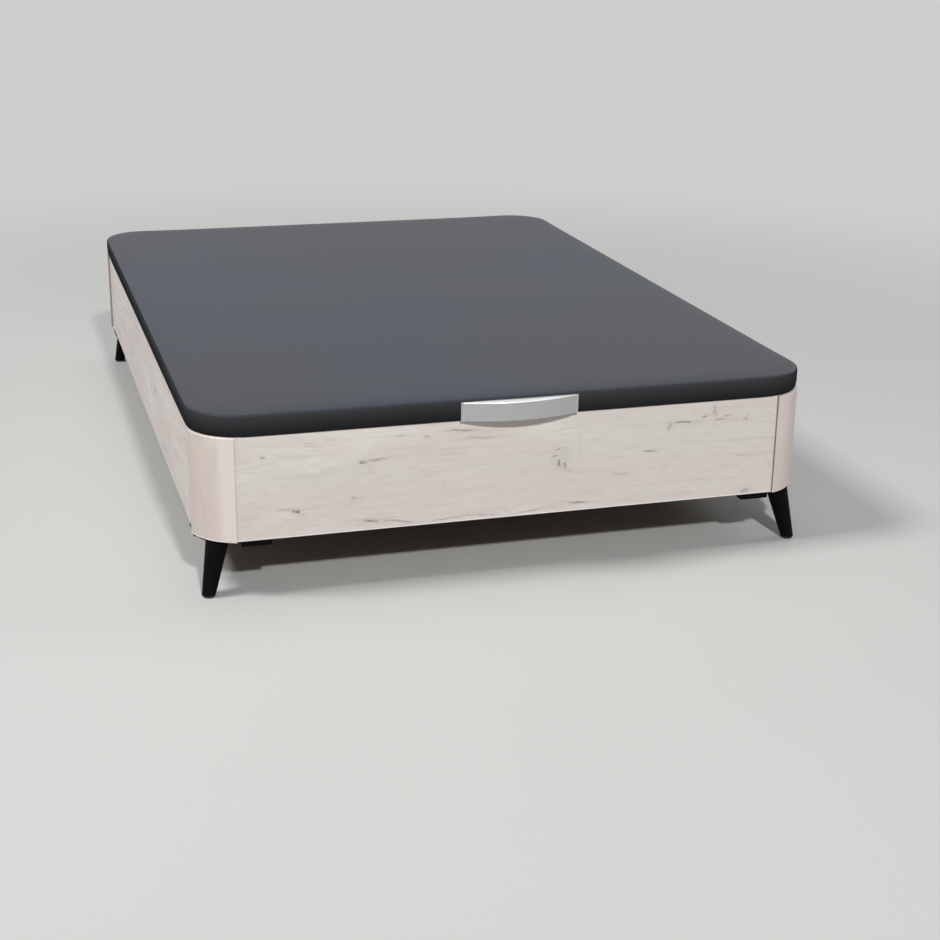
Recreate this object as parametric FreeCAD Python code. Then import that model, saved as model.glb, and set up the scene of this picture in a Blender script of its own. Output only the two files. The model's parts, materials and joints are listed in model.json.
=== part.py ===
import FreeCAD, Part
import math
import os

from FreeCAD import Vector

# Storage bed base: a panelled box on splayed legs, closed by an upholstered lid on a sprung lift.
# Millimetres. Origin on the floor at the centre of the box plan, +X to the right of a person who
# stands at the foot end, +Y towards the head end, +Z up.

# Box: bowed corner posts that stand proud of the panels between them, a little in from the lid
BED_WIDTH = 1350.0
BED_LENGTH = 1900.0
BOX_SETBACK = 1.5
BOX_HEIGHT = 222.0
LEG_HEIGHT = 120.0
PANEL_T = 15.0
PANEL_RECESS = 5.5
POST_END = 81.5
POST_BOW_R = 120.0
POST_MID_T = 15.0
TONGUE_T = 8.0
TONGUE_DEPTH = 9.0
TONGUE_CLEARANCE = 0.3
SEAM_CHAMFER = 1.0
EDGE_CHAMFER = 1.5

# Legs and the pressed plates that carry them
LEG_TOP_R = 24.5
LEG_FOOT_R = 14.5
LEG_TOP_IN_X = 48.5
LEG_TOP_IN_Y = 48.0
LEG_FOOT_IN_X = 23.5
LEG_FOOT_IN_Y = 27.5
LEG_STUD_R = 4.0
LEG_STUD_LENGTH = 14.0
LEG_NUT_FLATS = 13.0
LEG_NUT_HEIGHT = 6.5
GLIDE_HEIGHT = 5.0
GLIDE_R = 12.5
PLATE_SETBACK = 6.5
PLATE_CORNER_R = 84.0
PLATE_REACH = 153.0
PLATE_ARM = 36.0
PLATE_GUSSET = 110.0
PLATE_DEPTH = 12.0
PLATE_SHEET = 3.0
PLATE_SCREW_IN = 14.0
PLATE_SCREW_NEAR = 98.5
PLATE_SCREW_FAR = 130.5

# Steel brackets across the inner corners
BRACKET_START = 93.5
BRACKET_FLANGE = 60.0
BRACKET_SHEET = 2.5
BRACKET_HEIGHT = 80.0
BRACKET_LIFT = 4.0
BRACKET_SCREW_PITCH = 44.0
BRACKET_HOLE_R = 16.0

# Floor of the storage well
CLEAT = 16.0
CLEAT_START = 103.5
FLOOR_T = 10.0
FLOOR_CLEARANCE = 1.0
FLOOR_CORNER_R = 70.0
JOINT_WEB = 2.4
JOINT_FLANGE_W = 24.0
JOINT_FLANGE_T = 1.2
CROSSBAR_W = 40.0
CROSSBAR_WALL = 1.5
HANGER_SHEET = 2.0
HANGER_SHELF = 30.0
HANGER_W = 60.0
HANGER_CLEARANCE = 6.0

# Lid
LID_GAP = 0.3
LID_HEIGHT = 46.2
LID_CORNER_R = 115.0
COVER_T = 1.5
COVER_DRAW_IN = 3.0
COVER_DRAW_MID = 0.75
COVER_DRAW_HEIGHT = 9.0
COVER_ROLL = 7.0
COVER_CROWN = 1.5
COVER_CROWN_IN = 60.0
COVER_FLANGE = 20.0
ROLL_STEPS = 4
FRAME_INSET = 5.0
FRAME_SEAT = 0.2
TUBE_W = 30.0
TUBE_H = 30.0
TUBE_WALL = 1.5
CROSS_TUBE_W = 40.0
CROSS_TUBE_H = 20.0
CROSS_TUBE_COUNT = 4
CROSS_TUBE_PITCH = 380.0
BOARD_T = 4.0
SOFT_CLEARANCE = 0.3

# Bowed pull handle at the foot end
HANDLE_LENGTH = 254.0
HANDLE_BOW = 25.0
HANDLE_HEIGHT = 40.0
HANDLE_WALL = 3.0
HANDLE_FLAT = 4.0
HANDLE_GAP = 0.3
HANDLE_ROUND = 1.5
HANDLE_BOSS_R = 5.5
HANDLE_SCREW_PITCH = 192.0
HANDLE_SCREW_R = 2.0
HANDLE_SCREW_BITE = 8.0

# Lift pivots, side view: distance forward of the head panel's inner face, then a height. The long arm's
# foot and the strut's foot are measured up from the well floor, the other pivots down from the box top.
LONG_ARM_BASE = (564.0, 58.0)
LONG_ARM_LID = (158.0, 80.0)
SHORT_ARM_BASE = (343.0, 29.0)
SHORT_ARM_LID = (113.0, 31.0)
STRUT_BASE_RISE = 23.5
STRUT_SPREAD_DEG = 70.0
LIFT_PLATE_T = 3.0
LIFT_PLATE_R = 24.0
LIFT_PLATE_STRUT_R = 17.0
LIFT_PLATE_HOLE_R = 20.0
LIFT_SCREW_LOW = 75.0
LIFT_SCREW_HIGH = 70.0
ARM_SIDE_GAP = 1.5
LONG_ARM_T = 5.0
LONG_ARM_BASE_R = 19.0
LONG_ARM_LID_R = 16.0
LONG_ARM_RIB_R = 7.0
LONG_ARM_RIB_T = 1.5
LONG_ARM_RIB_IN = 48.0
SHORT_ARM_T = 4.0
SHORT_ARM_BASE_R = 19.0
SHORT_ARM_END_R = 14.0
SHORT_ARM_WEB = 62.0
SHORT_ARM_WEB_R = 10.0
LID_BRACKET_T = 4.0
LID_BRACKET_R = 17.0
LID_BRACKET_TOP_R = 10.0
LID_BRACKET_FRONT = 213.0
LID_BRACKET_BACK = 113.0
PIN_R = 5.0
PIN_CLEARANCE = 0.05
OPEN_PIVOT_CLEARANCE = 1.1
PIN_COLLAR_R = 8.0
PIN_HEAD_R = 9.0
PIN_HEAD_T = 2.5
PIN_END_PLAY = 0.4
LID_BOLT_R = 4.0
LID_BOLT_FLATS = 13.0
LID_BOLT_HEAD = 5.0
LID_BOLT_BITE = 12.0
LID_BOLT_COUNT = 3
LID_BOLT_PITCH = 40.0

# Gas strut
STRUT_TUBE_R = 10.0
STRUT_TUBE_WALL = 1.5
STRUT_ROD_R = 4.0
STRUT_ROD_CLEARANCE = 0.3
STRUT_NECK_R = 4.0
STRUT_EYE_R = 9.0
STRUT_EYE_W = 10.0
STRUT_EYE_REACH = 20.0
STRUT_CAP = 8.0
STRUT_PISTON_REST = 28.0
STRUT_STUD_R = 4.0
STRUT_STUD_COLLAR_R = 7.0
STRUT_STUD_HEAD_R = 7.0

# Wood screws
SCREW_R = 2.0
SCREW_HEAD_R = 4.0
SCREW_HEAD_T = 2.2
SCREW_BITE = 14.0
SCREW_CLEARANCE = 0.05

# Derived levels
BOX_BOTTOM = LEG_HEIGHT
BOX_TOP = BOX_BOTTOM + BOX_HEIGHT
BOX_X = BED_WIDTH / 2 - BOX_SETBACK
BOX_Y = BED_LENGTH / 2 - BOX_SETBACK
POST_T = PANEL_RECESS + PANEL_T
INNER_X = BOX_X - POST_T
INNER_Y = BOX_Y - POST_T
FLOOR_BOTTOM = BOX_BOTTOM + CLEAT
FLOOR_TOP = FLOOR_BOTTOM + FLOOR_T
LID_BOTTOM = BOX_TOP + LID_GAP
LID_TOP = LID_BOTTOM + LID_HEIGHT
FRAME_BOTTOM = LID_BOTTOM + COVER_T + FRAME_SEAT
FRAME_TOP = FRAME_BOTTOM + TUBE_H
BOARD_TOP = FRAME_TOP + BOARD_T
TUBE_OUTER_X = BED_WIDTH / 2 - FRAME_INSET
TUBE_INNER_X = TUBE_OUTER_X - TUBE_W
TUBE_OUTER_Y = BED_LENGTH / 2 - FRAME_INSET
TUBE_INNER_Y = TUBE_OUTER_Y - TUBE_W
FRAME_SPLIT_Y = BED_LENGTH / 2 - LID_CORNER_R

CORNERS = {"foot_left": (-1, -1), "foot_right": (1, -1), "head_right": (1, 1), "head_left": (-1, 1)}
SIDES = {"left": -1, "right": 1}
QUARTER_TURN_DEG = 90
ARM_PIN = (PIN_R, PIN_COLLAR_R, PIN_HEAD_R)
STRUT_STUD = (STRUT_STUD_R, STRUT_STUD_COLLAR_R, STRUT_STUD_HEAD_R)
UP = Vector(0, 0, 1)


def block(x0, x1, y0, y1, z0, z1):
    return Part.makeBox(x1 - x0, y1 - y0, z1 - z0, Vector(x0, y0, z0))


def prism(points, z0, z1):
    loop = [Vector(u, v, z0) for u, v in points]
    face = Part.Face(Part.makePolygon(loop + loop[:1]))
    return face.extrude(Vector(0, 0, z1 - z0))


def line(a, b):
    return Part.LineSegment(a, b).toShape()


def arc(a, through, b):
    return Part.Arc(a, through, b).toShape()


def joined(shapes):
    return shapes[0].fuse(shapes[1:]).removeSplitter()


def group(solids):
    return Part.makeCompound(solids)


def write(name, shape):
    shape.exportStep("parts/" + name + ".step")


def plan_wire(inset, z, corner_r=LID_CORNER_R):
    """Rounded rectangle of the bed plan, drawn in all round by inset from corners of a given radius."""
    hx = BED_WIDTH / 2 - inset
    hy = BED_LENGTH / 2 - inset
    r = corner_r - inset
    cx = hx - r
    cy = hy - r
    k = r * math.sqrt(0.5)
    edges = []
    turn = [(-1, -1), (1, -1), (1, 1), (-1, 1)]
    for i, (sx, sy) in enumerate(turn):
        centre = Vector(sx * cx, sy * cy, z)
        out_x = centre + Vector(sx * r, 0, 0)
        out_y = centre + Vector(0, sy * r, 0)
        first, last = (out_x, out_y) if sx == sy else (out_y, out_x)
        edges.append(arc(first, centre + Vector(sx * k, sy * k, 0), last))
        nx, ny = turn[(i + 1) % 4]
        following = Vector(nx * cx, ny * cy, z)
        step = Vector(0, ny * r, 0) if sx == sy else Vector(nx * r, 0, 0)
        edges.append(line(last, following + step))
    return Part.Wire(edges)


def plan_slab(inset, z0, z1, corner_r=LID_CORNER_R):
    return Part.Face(plan_wire(inset, z0, corner_r)).extrude(Vector(0, 0, z1 - z0))


def at_corner(shape, corner):
    """Places a shape drawn from the outer corner of the box, with both axes pointing inwards."""
    sx, sy = CORNERS[corner]
    placed = shape.copy()
    placed.rotate(Vector(0, 0, 0), UP, QUARTER_TURN_DEG * list(CORNERS).index(corner))
    placed.translate(Vector(sx * BOX_X, sy * BOX_Y, 0))
    return placed


def corner_point(corner, u, v, z):
    sx, sy = CORNERS[corner]
    return Vector(sx * (BOX_X - u), sy * (BOX_Y - v), z)


def screw(seat, into, length=SCREW_BITE):
    """Pan head screw: the head stands on seat, and the shank runs along into."""
    head = Part.makeCylinder(SCREW_HEAD_R, SCREW_HEAD_T, seat - into * SCREW_HEAD_T, into)
    shank = Part.makeCylinder(SCREW_R, length, seat, into)
    return head.fuse(shank).removeSplitter()


def screw_holes(places, length=SCREW_BITE):
    r = SCREW_R + SCREW_CLEARANCE
    depth = length + SCREW_CLEARANCE
    return group([Part.makeCylinder(r, depth, seat, into) for seat, into in places])


def hexagon(centre, axis, flats, height):
    """Six-sided prism on an axis along X or Z."""
    corner_r = flats / math.sqrt(3)
    if abs(axis.z) > 0.5:
        first, second = Vector(1, 0, 0), Vector(0, 1, 0)
    else:
        first, second = Vector(0, 1, 0), Vector(0, 0, 1)
    loop = []
    for i in range(7):
        a = math.radians(60 * i)
        loop.append(centre + first * (corner_r * math.cos(a)) + second * (corner_r * math.sin(a)))
    return Part.Face(Part.makePolygon(loop)).extrude(axis * height)


# Fixing places shared by the pieces that are drilled and the screws that go in
def plate_screw_places(corner):
    near_far = (PLATE_SCREW_NEAR, PLATE_SCREW_FAR)
    seats = [(d, PLATE_SCREW_IN) for d in near_far] + [(PLATE_SCREW_IN, d) for d in near_far]
    z = BOX_BOTTOM - PLATE_SHEET
    return [(corner_point(corner, u, v, z), UP) for u, v in seats]


def bracket_levels():
    middle = FLOOR_TOP + BRACKET_LIFT + BRACKET_HEIGHT / 2
    return (middle - BRACKET_SCREW_PITCH / 2, middle + BRACKET_SCREW_PITCH / 2)


def bracket_screw_places(corner):
    sx, sy = CORNERS[corner]
    run = BRACKET_START + BRACKET_FLANGE / 2
    seat = POST_T + BRACKET_SHEET
    places = []
    for z in bracket_levels():
        places.append((corner_point(corner, run, seat, z), Vector(0, sy, 0)))
        places.append((corner_point(corner, seat, run, z), Vector(sx, 0, 0)))
    return places


def pivot_above_floor(forward, above):
    return (INNER_Y - forward, FLOOR_TOP + above)


def pivot_below_top(forward, below):
    return (INNER_Y - forward, BOX_TOP - below)


# Pivots: long arm A to C, short arm B to D, strut S to T with both ends equally far from B
A = pivot_above_floor(*LONG_ARM_BASE)
B = pivot_below_top(*SHORT_ARM_BASE)
C = pivot_below_top(*LONG_ARM_LID)
D = pivot_below_top(*SHORT_ARM_LID)
STRUT_Z = FLOOR_TOP + STRUT_BASE_RISE
HALF_STRUT = (B[1] - STRUT_Z) * math.tan(math.radians(STRUT_SPREAD_DEG / 2))
S = (B[0] - HALF_STRUT, STRUT_Z)
T = (B[0] + HALF_STRUT, STRUT_Z)


def along(p, q, distance):
    """The point at a distance from p on the line to q."""
    share = distance / math.dist(p, q)
    return (p[0] + (q[0] - p[0]) * share, p[1] + (q[1] - p[1]) * share)


def midway(p, q):
    return along(p, q, math.dist(p, q) / 2)


def lift_plate_screw_places(side):
    x = side * (INNER_X - LIFT_PLATE_T)
    spots = [along(A, B, LIFT_SCREW_LOW), along(B, A, LIFT_SCREW_HIGH), midway(B, S), midway(S, A)]
    return [(Vector(x, y, z), Vector(side, 0, 0)) for y, z in spots]


def hanger_screw_places(side):
    x = side * (INNER_X - HANGER_SHEET)
    z = BOX_BOTTOM + CLEAT / 2
    reach = (HANGER_W + CROSSBAR_W) / 4
    return [(Vector(x, y, z), Vector(side, 0, 0)) for y in (-reach, reach)]


# Panels and corner posts
def wall_panel(length):
    """One melamine panel, centred on its length, outer face on v = 0, with a tongue at each end."""
    half = length / 2
    c = SEAM_CHAMFER
    low = (PANEL_T - TONGUE_T) / 2
    high = (PANEL_T + TONGUE_T) / 2
    right = [(half - c, 0), (half, c), (half, low), (half + TONGUE_DEPTH, low)]
    right += [(half + TONGUE_DEPTH, high), (half, high), (half, PANEL_T)]
    left = [(-u, v) for u, v in reversed(right)]
    panel = prism(right + left, BOX_BOTTOM, BOX_TOP)
    edges = []
    for edge in panel.Edges:
        box = edge.BoundBox
        if box.YMax < 0.01 and box.ZLength < 0.01:
            edges.append(edge)
    return panel.makeChamfer(EDGE_CHAMFER, edges)


def corner_post():
    """Bowed post drawn from the outer corner of the box, grooved at both ends for the panels."""
    z = BOX_BOTTOM
    c = SEAM_CHAMFER
    end = POST_END
    groove = TONGUE_T + 2 * TONGUE_CLEARANCE
    g0 = PANEL_RECESS + (PANEL_T - groove) / 2
    g1 = PANEL_RECESS + (PANEL_T + groove) / 2
    deep = end - TONGUE_DEPTH - TONGUE_CLEARANCE
    k = math.sqrt(0.5)
    half_chord = (end - c) * k
    rise = POST_BOW_R - math.sqrt(POST_BOW_R ** 2 - half_chord ** 2)
    crest = half_chord * k - rise * k
    hollow = crest + POST_MID_T * k
    run = [(end, POST_T), (end, g1), (deep, g1), (deep, g0), (end, g0), (end, c), (end - c, 0)]
    first = [Vector(u, v, z) for u, v in run]
    second = [Vector(v, u, z) for u, v in reversed(run)]
    edges = [line(a, b) for a, b in zip(first, first[1:])]
    edges.append(arc(first[-1], Vector(crest, crest, z), second[0]))
    edges += [line(a, b) for a, b in zip(second, second[1:])]
    edges.append(arc(second[-1], Vector(hollow, hollow, z), first[0]))
    post = Part.Face(Part.Wire(edges)).extrude(Vector(0, 0, BOX_HEIGHT))
    rim = []
    for edge in post.Edges:
        middle = edge.valueAt((edge.FirstParameter + edge.LastParameter) / 2)
        if edge.BoundBox.ZLength < 0.01 and math.hypot(middle.x - crest, middle.y - crest) < 0.01:
            rim.append(edge)
    return post.makeChamfer(EDGE_CHAMFER, rim)


def make_box():
    side_places = {}
    for name, side in SIDES.items():
        places = lift_plate_screw_places(side) + hanger_screw_places(side)
        side_places["side_panel_" + name] = places
    corner_places = []
    for corner in CORNERS:
        corner_places += plate_screw_places(corner) + bracket_screw_places(corner)
    end_length = 2 * (BOX_X - POST_END)
    side_length = 2 * (BOX_Y - POST_END)
    face_x = BOX_X - PANEL_RECESS
    face_y = BOX_Y - PANEL_RECESS
    walls = {
        "foot_panel": (end_length, Vector(0, -face_y, 0)),
        "side_panel_right": (side_length, Vector(face_x, 0, 0)),
        "head_panel": (end_length, Vector(0, face_y, 0)),
        "side_panel_left": (side_length, Vector(-face_x, 0, 0)),
    }
    for turns, (name, (length, place)) in enumerate(walls.items()):
        panel = wall_panel(length)
        panel.rotate(Vector(0, 0, 0), UP, QUARTER_TURN_DEG * turns)
        panel.translate(place)
        write(name, panel.cut(screw_holes(corner_places + side_places.get(name, []))))
    post = corner_post()
    for corner in CORNERS:
        write("corner_post_" + corner, at_corner(post, corner))


# Corner brackets
def make_corner_brackets():
    s = POST_T
    t = BRACKET_SHEET
    far = BRACKET_START + BRACKET_FLANGE
    inner_sum = BRACKET_START + s + t * math.sqrt(2)
    outer = [(far, s), (BRACKET_START, s), (s, BRACKET_START), (s, far)]
    turn = inner_sum - s - t
    inner = [(s + t, far), (s + t, turn), (turn, s + t), (far, s + t)]
    z0 = FLOOR_TOP + BRACKET_LIFT
    blank = prism(outer + inner, z0, z0 + BRACKET_HEIGHT)
    middle = (BRACKET_START + s) / 2
    centre = Vector(middle, middle, z0 + BRACKET_HEIGHT / 2)
    blank = blank.cut(Part.makeCylinder(BRACKET_HOLE_R, 2 * t, centre, Vector(1, 1, 0)))
    screws = []
    for corner in CORNERS:
        places = bracket_screw_places(corner)
        write("corner_bracket_" + corner, at_corner(blank, corner).cut(screw_holes(places)))
        screws += [screw(seat, into) for seat, into in places]
    write("corner_bracket_screws", group(screws))


# Legs
def leg_plate_run(inset):
    """Straight stretches of the plate's outline, drawn in by inset, from one end of its bend to the other."""
    s = PLATE_SETBACK + inset
    reach = PLATE_REACH - inset
    arm = PLATE_SETBACK + PLATE_ARM - inset
    diagonal = PLATE_SETBACK + PLATE_ARM + PLATE_GUSSET - inset * math.sqrt(2)
    bend = PLATE_SETBACK + PLATE_CORNER_R
    run = [(s, bend), (s, reach), (arm, reach), (arm, diagonal - arm)]
    return run + [(diagonal - arm, arm), (reach, arm), (reach, s), (bend, s)]


def leg_plate():
    """Pressed plate with walls along its arms and none at its bend, where the leg stands."""
    rim = BOX_BOTTOM - PLATE_DEPTH
    bend = PLATE_SETBACK + PLATE_CORNER_R
    crest = bend - PLATE_CORNER_R * math.sqrt(0.5)
    points = [Vector(u, v, rim) for u, v in leg_plate_run(0)]
    edges = [line(a, b) for a, b in zip(points, points[1:])]
    edges.append(arc(points[-1], Vector(crest, crest, rim), points[0]))
    blank = Part.Face(Part.Wire(edges)).extrude(Vector(0, 0, PLATE_DEPTH))
    hollow = leg_plate_run(PLATE_SHEET) + [(bend, 0), (0, 0), (0, bend)]
    return blank.cut(prism(hollow, rim, BOX_BOTTOM - PLATE_SHEET))


def make_legs():
    top = BOX_BOTTOM - PLATE_SHEET
    plate = leg_plate()
    nuts = []
    glides = []
    screws = []
    for corner in CORNERS:
        head = corner_point(corner, LEG_TOP_IN_X, LEG_TOP_IN_Y, top)
        foot = corner_point(corner, LEG_FOOT_IN_X, LEG_FOOT_IN_Y, GLIDE_HEIGHT)
        rings = [Part.Wire(Part.makeCircle(LEG_TOP_R, head)), Part.Wire(Part.makeCircle(LEG_FOOT_R, foot))]
        stud = Part.makeCylinder(LEG_STUD_R, LEG_STUD_LENGTH, head, UP)
        write("leg_" + corner, Part.makeLoft(rings, True, True).fuse(stud))
        places = plate_screw_places(corner)
        hole = Part.makeCylinder(LEG_STUD_R + SCREW_CLEARANCE, PLATE_DEPTH, head, UP)
        write("leg_plate_" + corner, at_corner(plate, corner).cut(screw_holes(places)).cut(hole))
        screws += [screw(seat, into) for seat, into in places]
        seat = head + UP * PLATE_SHEET
        bore = Part.makeCylinder(LEG_STUD_R + SCREW_CLEARANCE, LEG_NUT_HEIGHT, seat, UP)
        nuts.append(hexagon(seat, UP, LEG_NUT_FLATS, LEG_NUT_HEIGHT).cut(bore))
        floor = Vector(foot.x, foot.y, 0)
        glides.append(Part.makeCone(GLIDE_R, LEG_FOOT_R, GLIDE_HEIGHT, floor, UP))
    write("leg_nuts", group(nuts))
    write("leg_glides", group(glides))
    write("leg_plate_screws", group(screws))


# Floor of the storage well
def make_floor():
    ends = []
    reach_x = BOX_X - CLEAT_START
    for sy in (-1, 1):
        y0, y1 = sorted((sy * INNER_Y, sy * (INNER_Y - CLEAT)))
        ends.append(block(-reach_x, reach_x, y0, y1, BOX_BOTTOM, FLOOR_BOTTOM))
    write("floor_cleats_end", group(ends))
    sides = []
    reach_y = BOX_Y - CLEAT_START
    clear = HANGER_W / 2 + HANGER_CLEARANCE
    for sx in (-1, 1):
        x0, x1 = sorted((sx * INNER_X, sx * (INNER_X - CLEAT)))
        sides.append(block(x0, x1, -reach_y, -clear, BOX_BOTTOM, FLOOR_BOTTOM))
        sides.append(block(x0, x1, clear, reach_y, BOX_BOTTOM, FLOOR_BOTTOM))
    write("floor_cleats_side", group(sides))

    edge = BOX_SETBACK + POST_T + FLOOR_CLEARANCE
    floor = plan_slab(edge, FLOOR_BOTTOM, FLOOR_TOP, FLOOR_CORNER_R + edge)
    half_web = JOINT_WEB / 2
    for name, sy in (("foot", -1), ("head", 1)):
        y0, y1 = sorted((sy * half_web, sy * BED_LENGTH))
        part = block(-BED_WIDTH, BED_WIDTH, y0, y1, FLOOR_BOTTOM, FLOOR_TOP)
        write("floor_board_" + name, floor.common(part))
    end_x = INNER_X - FLOOR_CLEARANCE
    web = block(-end_x, end_x, -half_web, half_web, FLOOR_BOTTOM, FLOOR_TOP)
    half_flange = JOINT_FLANGE_W / 2
    flange = block(-end_x, end_x, -half_flange, half_flange, FLOOR_TOP, FLOOR_TOP + JOINT_FLANGE_T)
    write("floor_joint_strip", joined([web, flange]))

    bar_x = INNER_X - HANGER_SHEET
    bar_y = CROSSBAR_W / 2
    shelf = BOX_BOTTOM + HANGER_SHEET
    w = CROSSBAR_WALL
    bar = block(-bar_x, bar_x, -bar_y, bar_y, shelf, FLOOR_BOTTOM)
    bore = block(-bar_x, bar_x, w - bar_y, bar_y - w, shelf + w, FLOOR_BOTTOM - w)
    write("floor_crossbar", bar.cut(bore))
    hangers = []
    screws = []
    for side in SIDES.values():
        x0, x1 = sorted((side * INNER_X, side * bar_x))
        back = block(x0, x1, -HANGER_W / 2, HANGER_W / 2, BOX_BOTTOM, FLOOR_BOTTOM)
        x0, x1 = sorted((side * INNER_X, side * (INNER_X - HANGER_SHELF)))
        foot = block(x0, x1, -bar_y, bar_y, BOX_BOTTOM, shelf)
        places = hanger_screw_places(side)
        hangers.append(joined([back, foot]).cut(screw_holes(places)))
        screws += [screw(seat, into) for seat, into in places]
    write("crossbar_hangers", group(hangers))
    write("crossbar_hanger_screws", group(screws))


# Lid: tube frame, board, foam pad and fabric cover
def cover_sections(shrink):
    """Sections of the padded lid from the drawn-in lower edge over the rolled edge to the crown."""
    roll_start = LID_TOP - COVER_ROLL
    sections = [(COVER_DRAW_IN, LID_BOTTOM), (COVER_DRAW_MID, LID_BOTTOM + COVER_DRAW_HEIGHT)]
    for i in range(ROLL_STEPS + 1):
        a = math.radians(90 * i / ROLL_STEPS)
        inset = COVER_ROLL * (1 - math.cos(a))
        sections.append((inset, roll_start + COVER_ROLL * math.sin(a) - shrink * math.sin(a)))
    sections.append((COVER_CROWN_IN, LID_TOP + COVER_CROWN - shrink))
    return [plan_wire(inset + shrink, z) for inset, z in sections]


def tube_ring(z0, z1, inset, width, wall):
    outside = plan_slab(inset, z0, z1).cut(plan_slab(inset + width, z0, z1))
    inside = plan_slab(inset + wall, z0 + wall, z1 - wall)
    inside = inside.cut(plan_slab(inset + width - wall, z0 + wall, z1 - wall))
    return outside.cut(inside)


def lid_bolt_places(side):
    middle = INNER_Y - (LID_BRACKET_FRONT + LID_BRACKET_BACK) / 2
    z = FRAME_BOTTOM + TUBE_H / 2
    first = -(LID_BOLT_COUNT - 1) / 2
    x = side * TUBE_INNER_X
    return [Vector(x, middle + (first + i) * LID_BOLT_PITCH, z) for i in range(LID_BOLT_COUNT)]


def handle_screw_places():
    x = HANDLE_SCREW_PITCH / 2
    z = FRAME_BOTTOM + TUBE_H / 2
    return [Vector(sx * x, -TUBE_INNER_Y, z) for sx in (-1, 1)]


def handle_screw_length():
    return TUBE_W + FRAME_INSET + HANDLE_GAP + HANDLE_SCREW_BITE


def handle_screw_holes():
    r = HANDLE_SCREW_R + SCREW_CLEARANCE
    depth = handle_screw_length() + SCREW_CLEARANCE
    return group([Part.makeCylinder(r, depth, seat, Vector(0, -1, 0)) for seat in handle_screw_places()])


def make_lid():
    ring = tube_ring(FRAME_BOTTOM, FRAME_TOP, FRAME_INSET, TUBE_W, TUBE_WALL)
    for name, side in SIDES.items():
        x0, x1 = sorted((0, side * BED_WIDTH))
        tube = ring.common(block(x0, x1, -FRAME_SPLIT_Y, FRAME_SPLIT_Y, FRAME_BOTTOM, FRAME_TOP))
        r = LID_BOLT_R + SCREW_CLEARANCE
        out = Vector(side, 0, 0)
        depth = 2 * TUBE_WALL
        holes = [Part.makeCylinder(r, depth, spot, out) for spot in lid_bolt_places(side)]
        write("lid_side_tube_" + name, tube.cut(group(holes)))
    for name, sy in (("foot", -1), ("head", 1)):
        y0, y1 = sorted((sy * FRAME_SPLIT_Y, sy * BED_LENGTH))
        tube = ring.common(block(-BED_WIDTH, BED_WIDTH, y0, y1, FRAME_BOTTOM, FRAME_TOP))
        write("lid_%s_tube" % name, tube.cut(handle_screw_holes()) if sy < 0 else tube)

    bars = []
    w = TUBE_WALL
    half = CROSS_TUBE_W / 2
    z0 = FRAME_TOP - CROSS_TUBE_H
    for i in range(CROSS_TUBE_COUNT):
        y = (i - (CROSS_TUBE_COUNT - 1) / 2) * CROSS_TUBE_PITCH
        bar = block(-TUBE_INNER_X, TUBE_INNER_X, y - half, y + half, z0, FRAME_TOP)
        bore = block(-TUBE_INNER_X, TUBE_INNER_X, y - half + w, y + half - w, z0 + w, FRAME_TOP - w)
        bars.append(bar.cut(bore))
    write("lid_cross_tubes", group(bars))

    write("lid_board", plan_slab(FRAME_INSET, FRAME_TOP, BOARD_TOP))

    outside = Part.makeLoft(cover_sections(0.0), True, True)
    inside = Part.makeLoft(cover_sections(COVER_T), True, True)
    flange = plan_slab(0, LID_BOTTOM, LID_BOTTOM + COVER_T)
    mouth = plan_slab(COVER_DRAW_IN + COVER_FLANGE, LID_BOTTOM - COVER_T, LID_BOTTOM + 2 * COVER_T)
    cover = outside.cut(inside.cut(flange)).cut(mouth)
    write("lid_cover", cover.cut(handle_screw_holes()))

    pad = Part.makeLoft(cover_sections(COVER_T + SOFT_CLEARANCE), True, True)
    write("lid_foam", pad.cut(plan_slab(0, LID_BOTTOM - COVER_T, BOARD_TOP)))


# Pull handle
def make_handle():
    back = -BED_LENGTH / 2 - HANDLE_GAP
    z0 = LID_BOTTOM
    z1 = z0 + HANDLE_HEIGHT
    half = HANDLE_LENGTH / 2
    bow = half - HANDLE_FLAT
    t = HANDLE_WALL
    shoulder = [(half, 0), (half, t), (bow, t)]
    right = [Vector(x, back - d, z0) for x, d in shoulder]
    left = [Vector(-x, back - d, z0) for x, d in reversed(shoulder)]
    edges = [line(a, b) for a, b in zip(right, right[1:])]
    edges.append(arc(right[-1], Vector(0, back - HANDLE_BOW, z0), left[0]))
    edges += [line(a, b) for a, b in zip(left, left[1:])]
    edges.append(line(left[-1], right[0]))
    shell = Part.Face(Part.Wire(edges)).extrude(Vector(0, 0, HANDLE_HEIGHT))
    rim = []
    for edge in shell.Edges:
        middle = edge.valueAt((edge.FirstParameter + edge.LastParameter) / 2)
        if edge.BoundBox.ZLength < 0.01 and middle.y < back - t - 0.01:
            rim.append(edge)
    shell = shell.makeFillet(HANDLE_ROUND, rim)
    inner = bow - t
    chord = [Vector(inner, back, z0), Vector(-inner, back, z0)]
    crown = arc(chord[0], Vector(0, back - HANDLE_BOW + t, z0), chord[1])
    pocket = Part.Face(Part.Wire([crown, line(chord[1], chord[0])])).extrude(Vector(0, 0, z1 - z0 - t))
    into = Vector(0, -1, 0)
    bosses = []
    screws = []
    for seat in handle_screw_places():
        foot = Vector(seat.x, back, seat.z)
        bosses.append(Part.makeCylinder(HANDLE_BOSS_R, HANDLE_BOW, foot, into).common(shell))
        head = Part.makeCylinder(SCREW_HEAD_R, SCREW_HEAD_T, seat - into * SCREW_HEAD_T, into)
        screws.append(head.fuse(Part.makeCylinder(HANDLE_SCREW_R, handle_screw_length(), seat, into)))
    write("pull_handle", joined([shell.cut(pocket)] + bosses).cut(handle_screw_holes()))
    write("handle_screws", group(screws))


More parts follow.
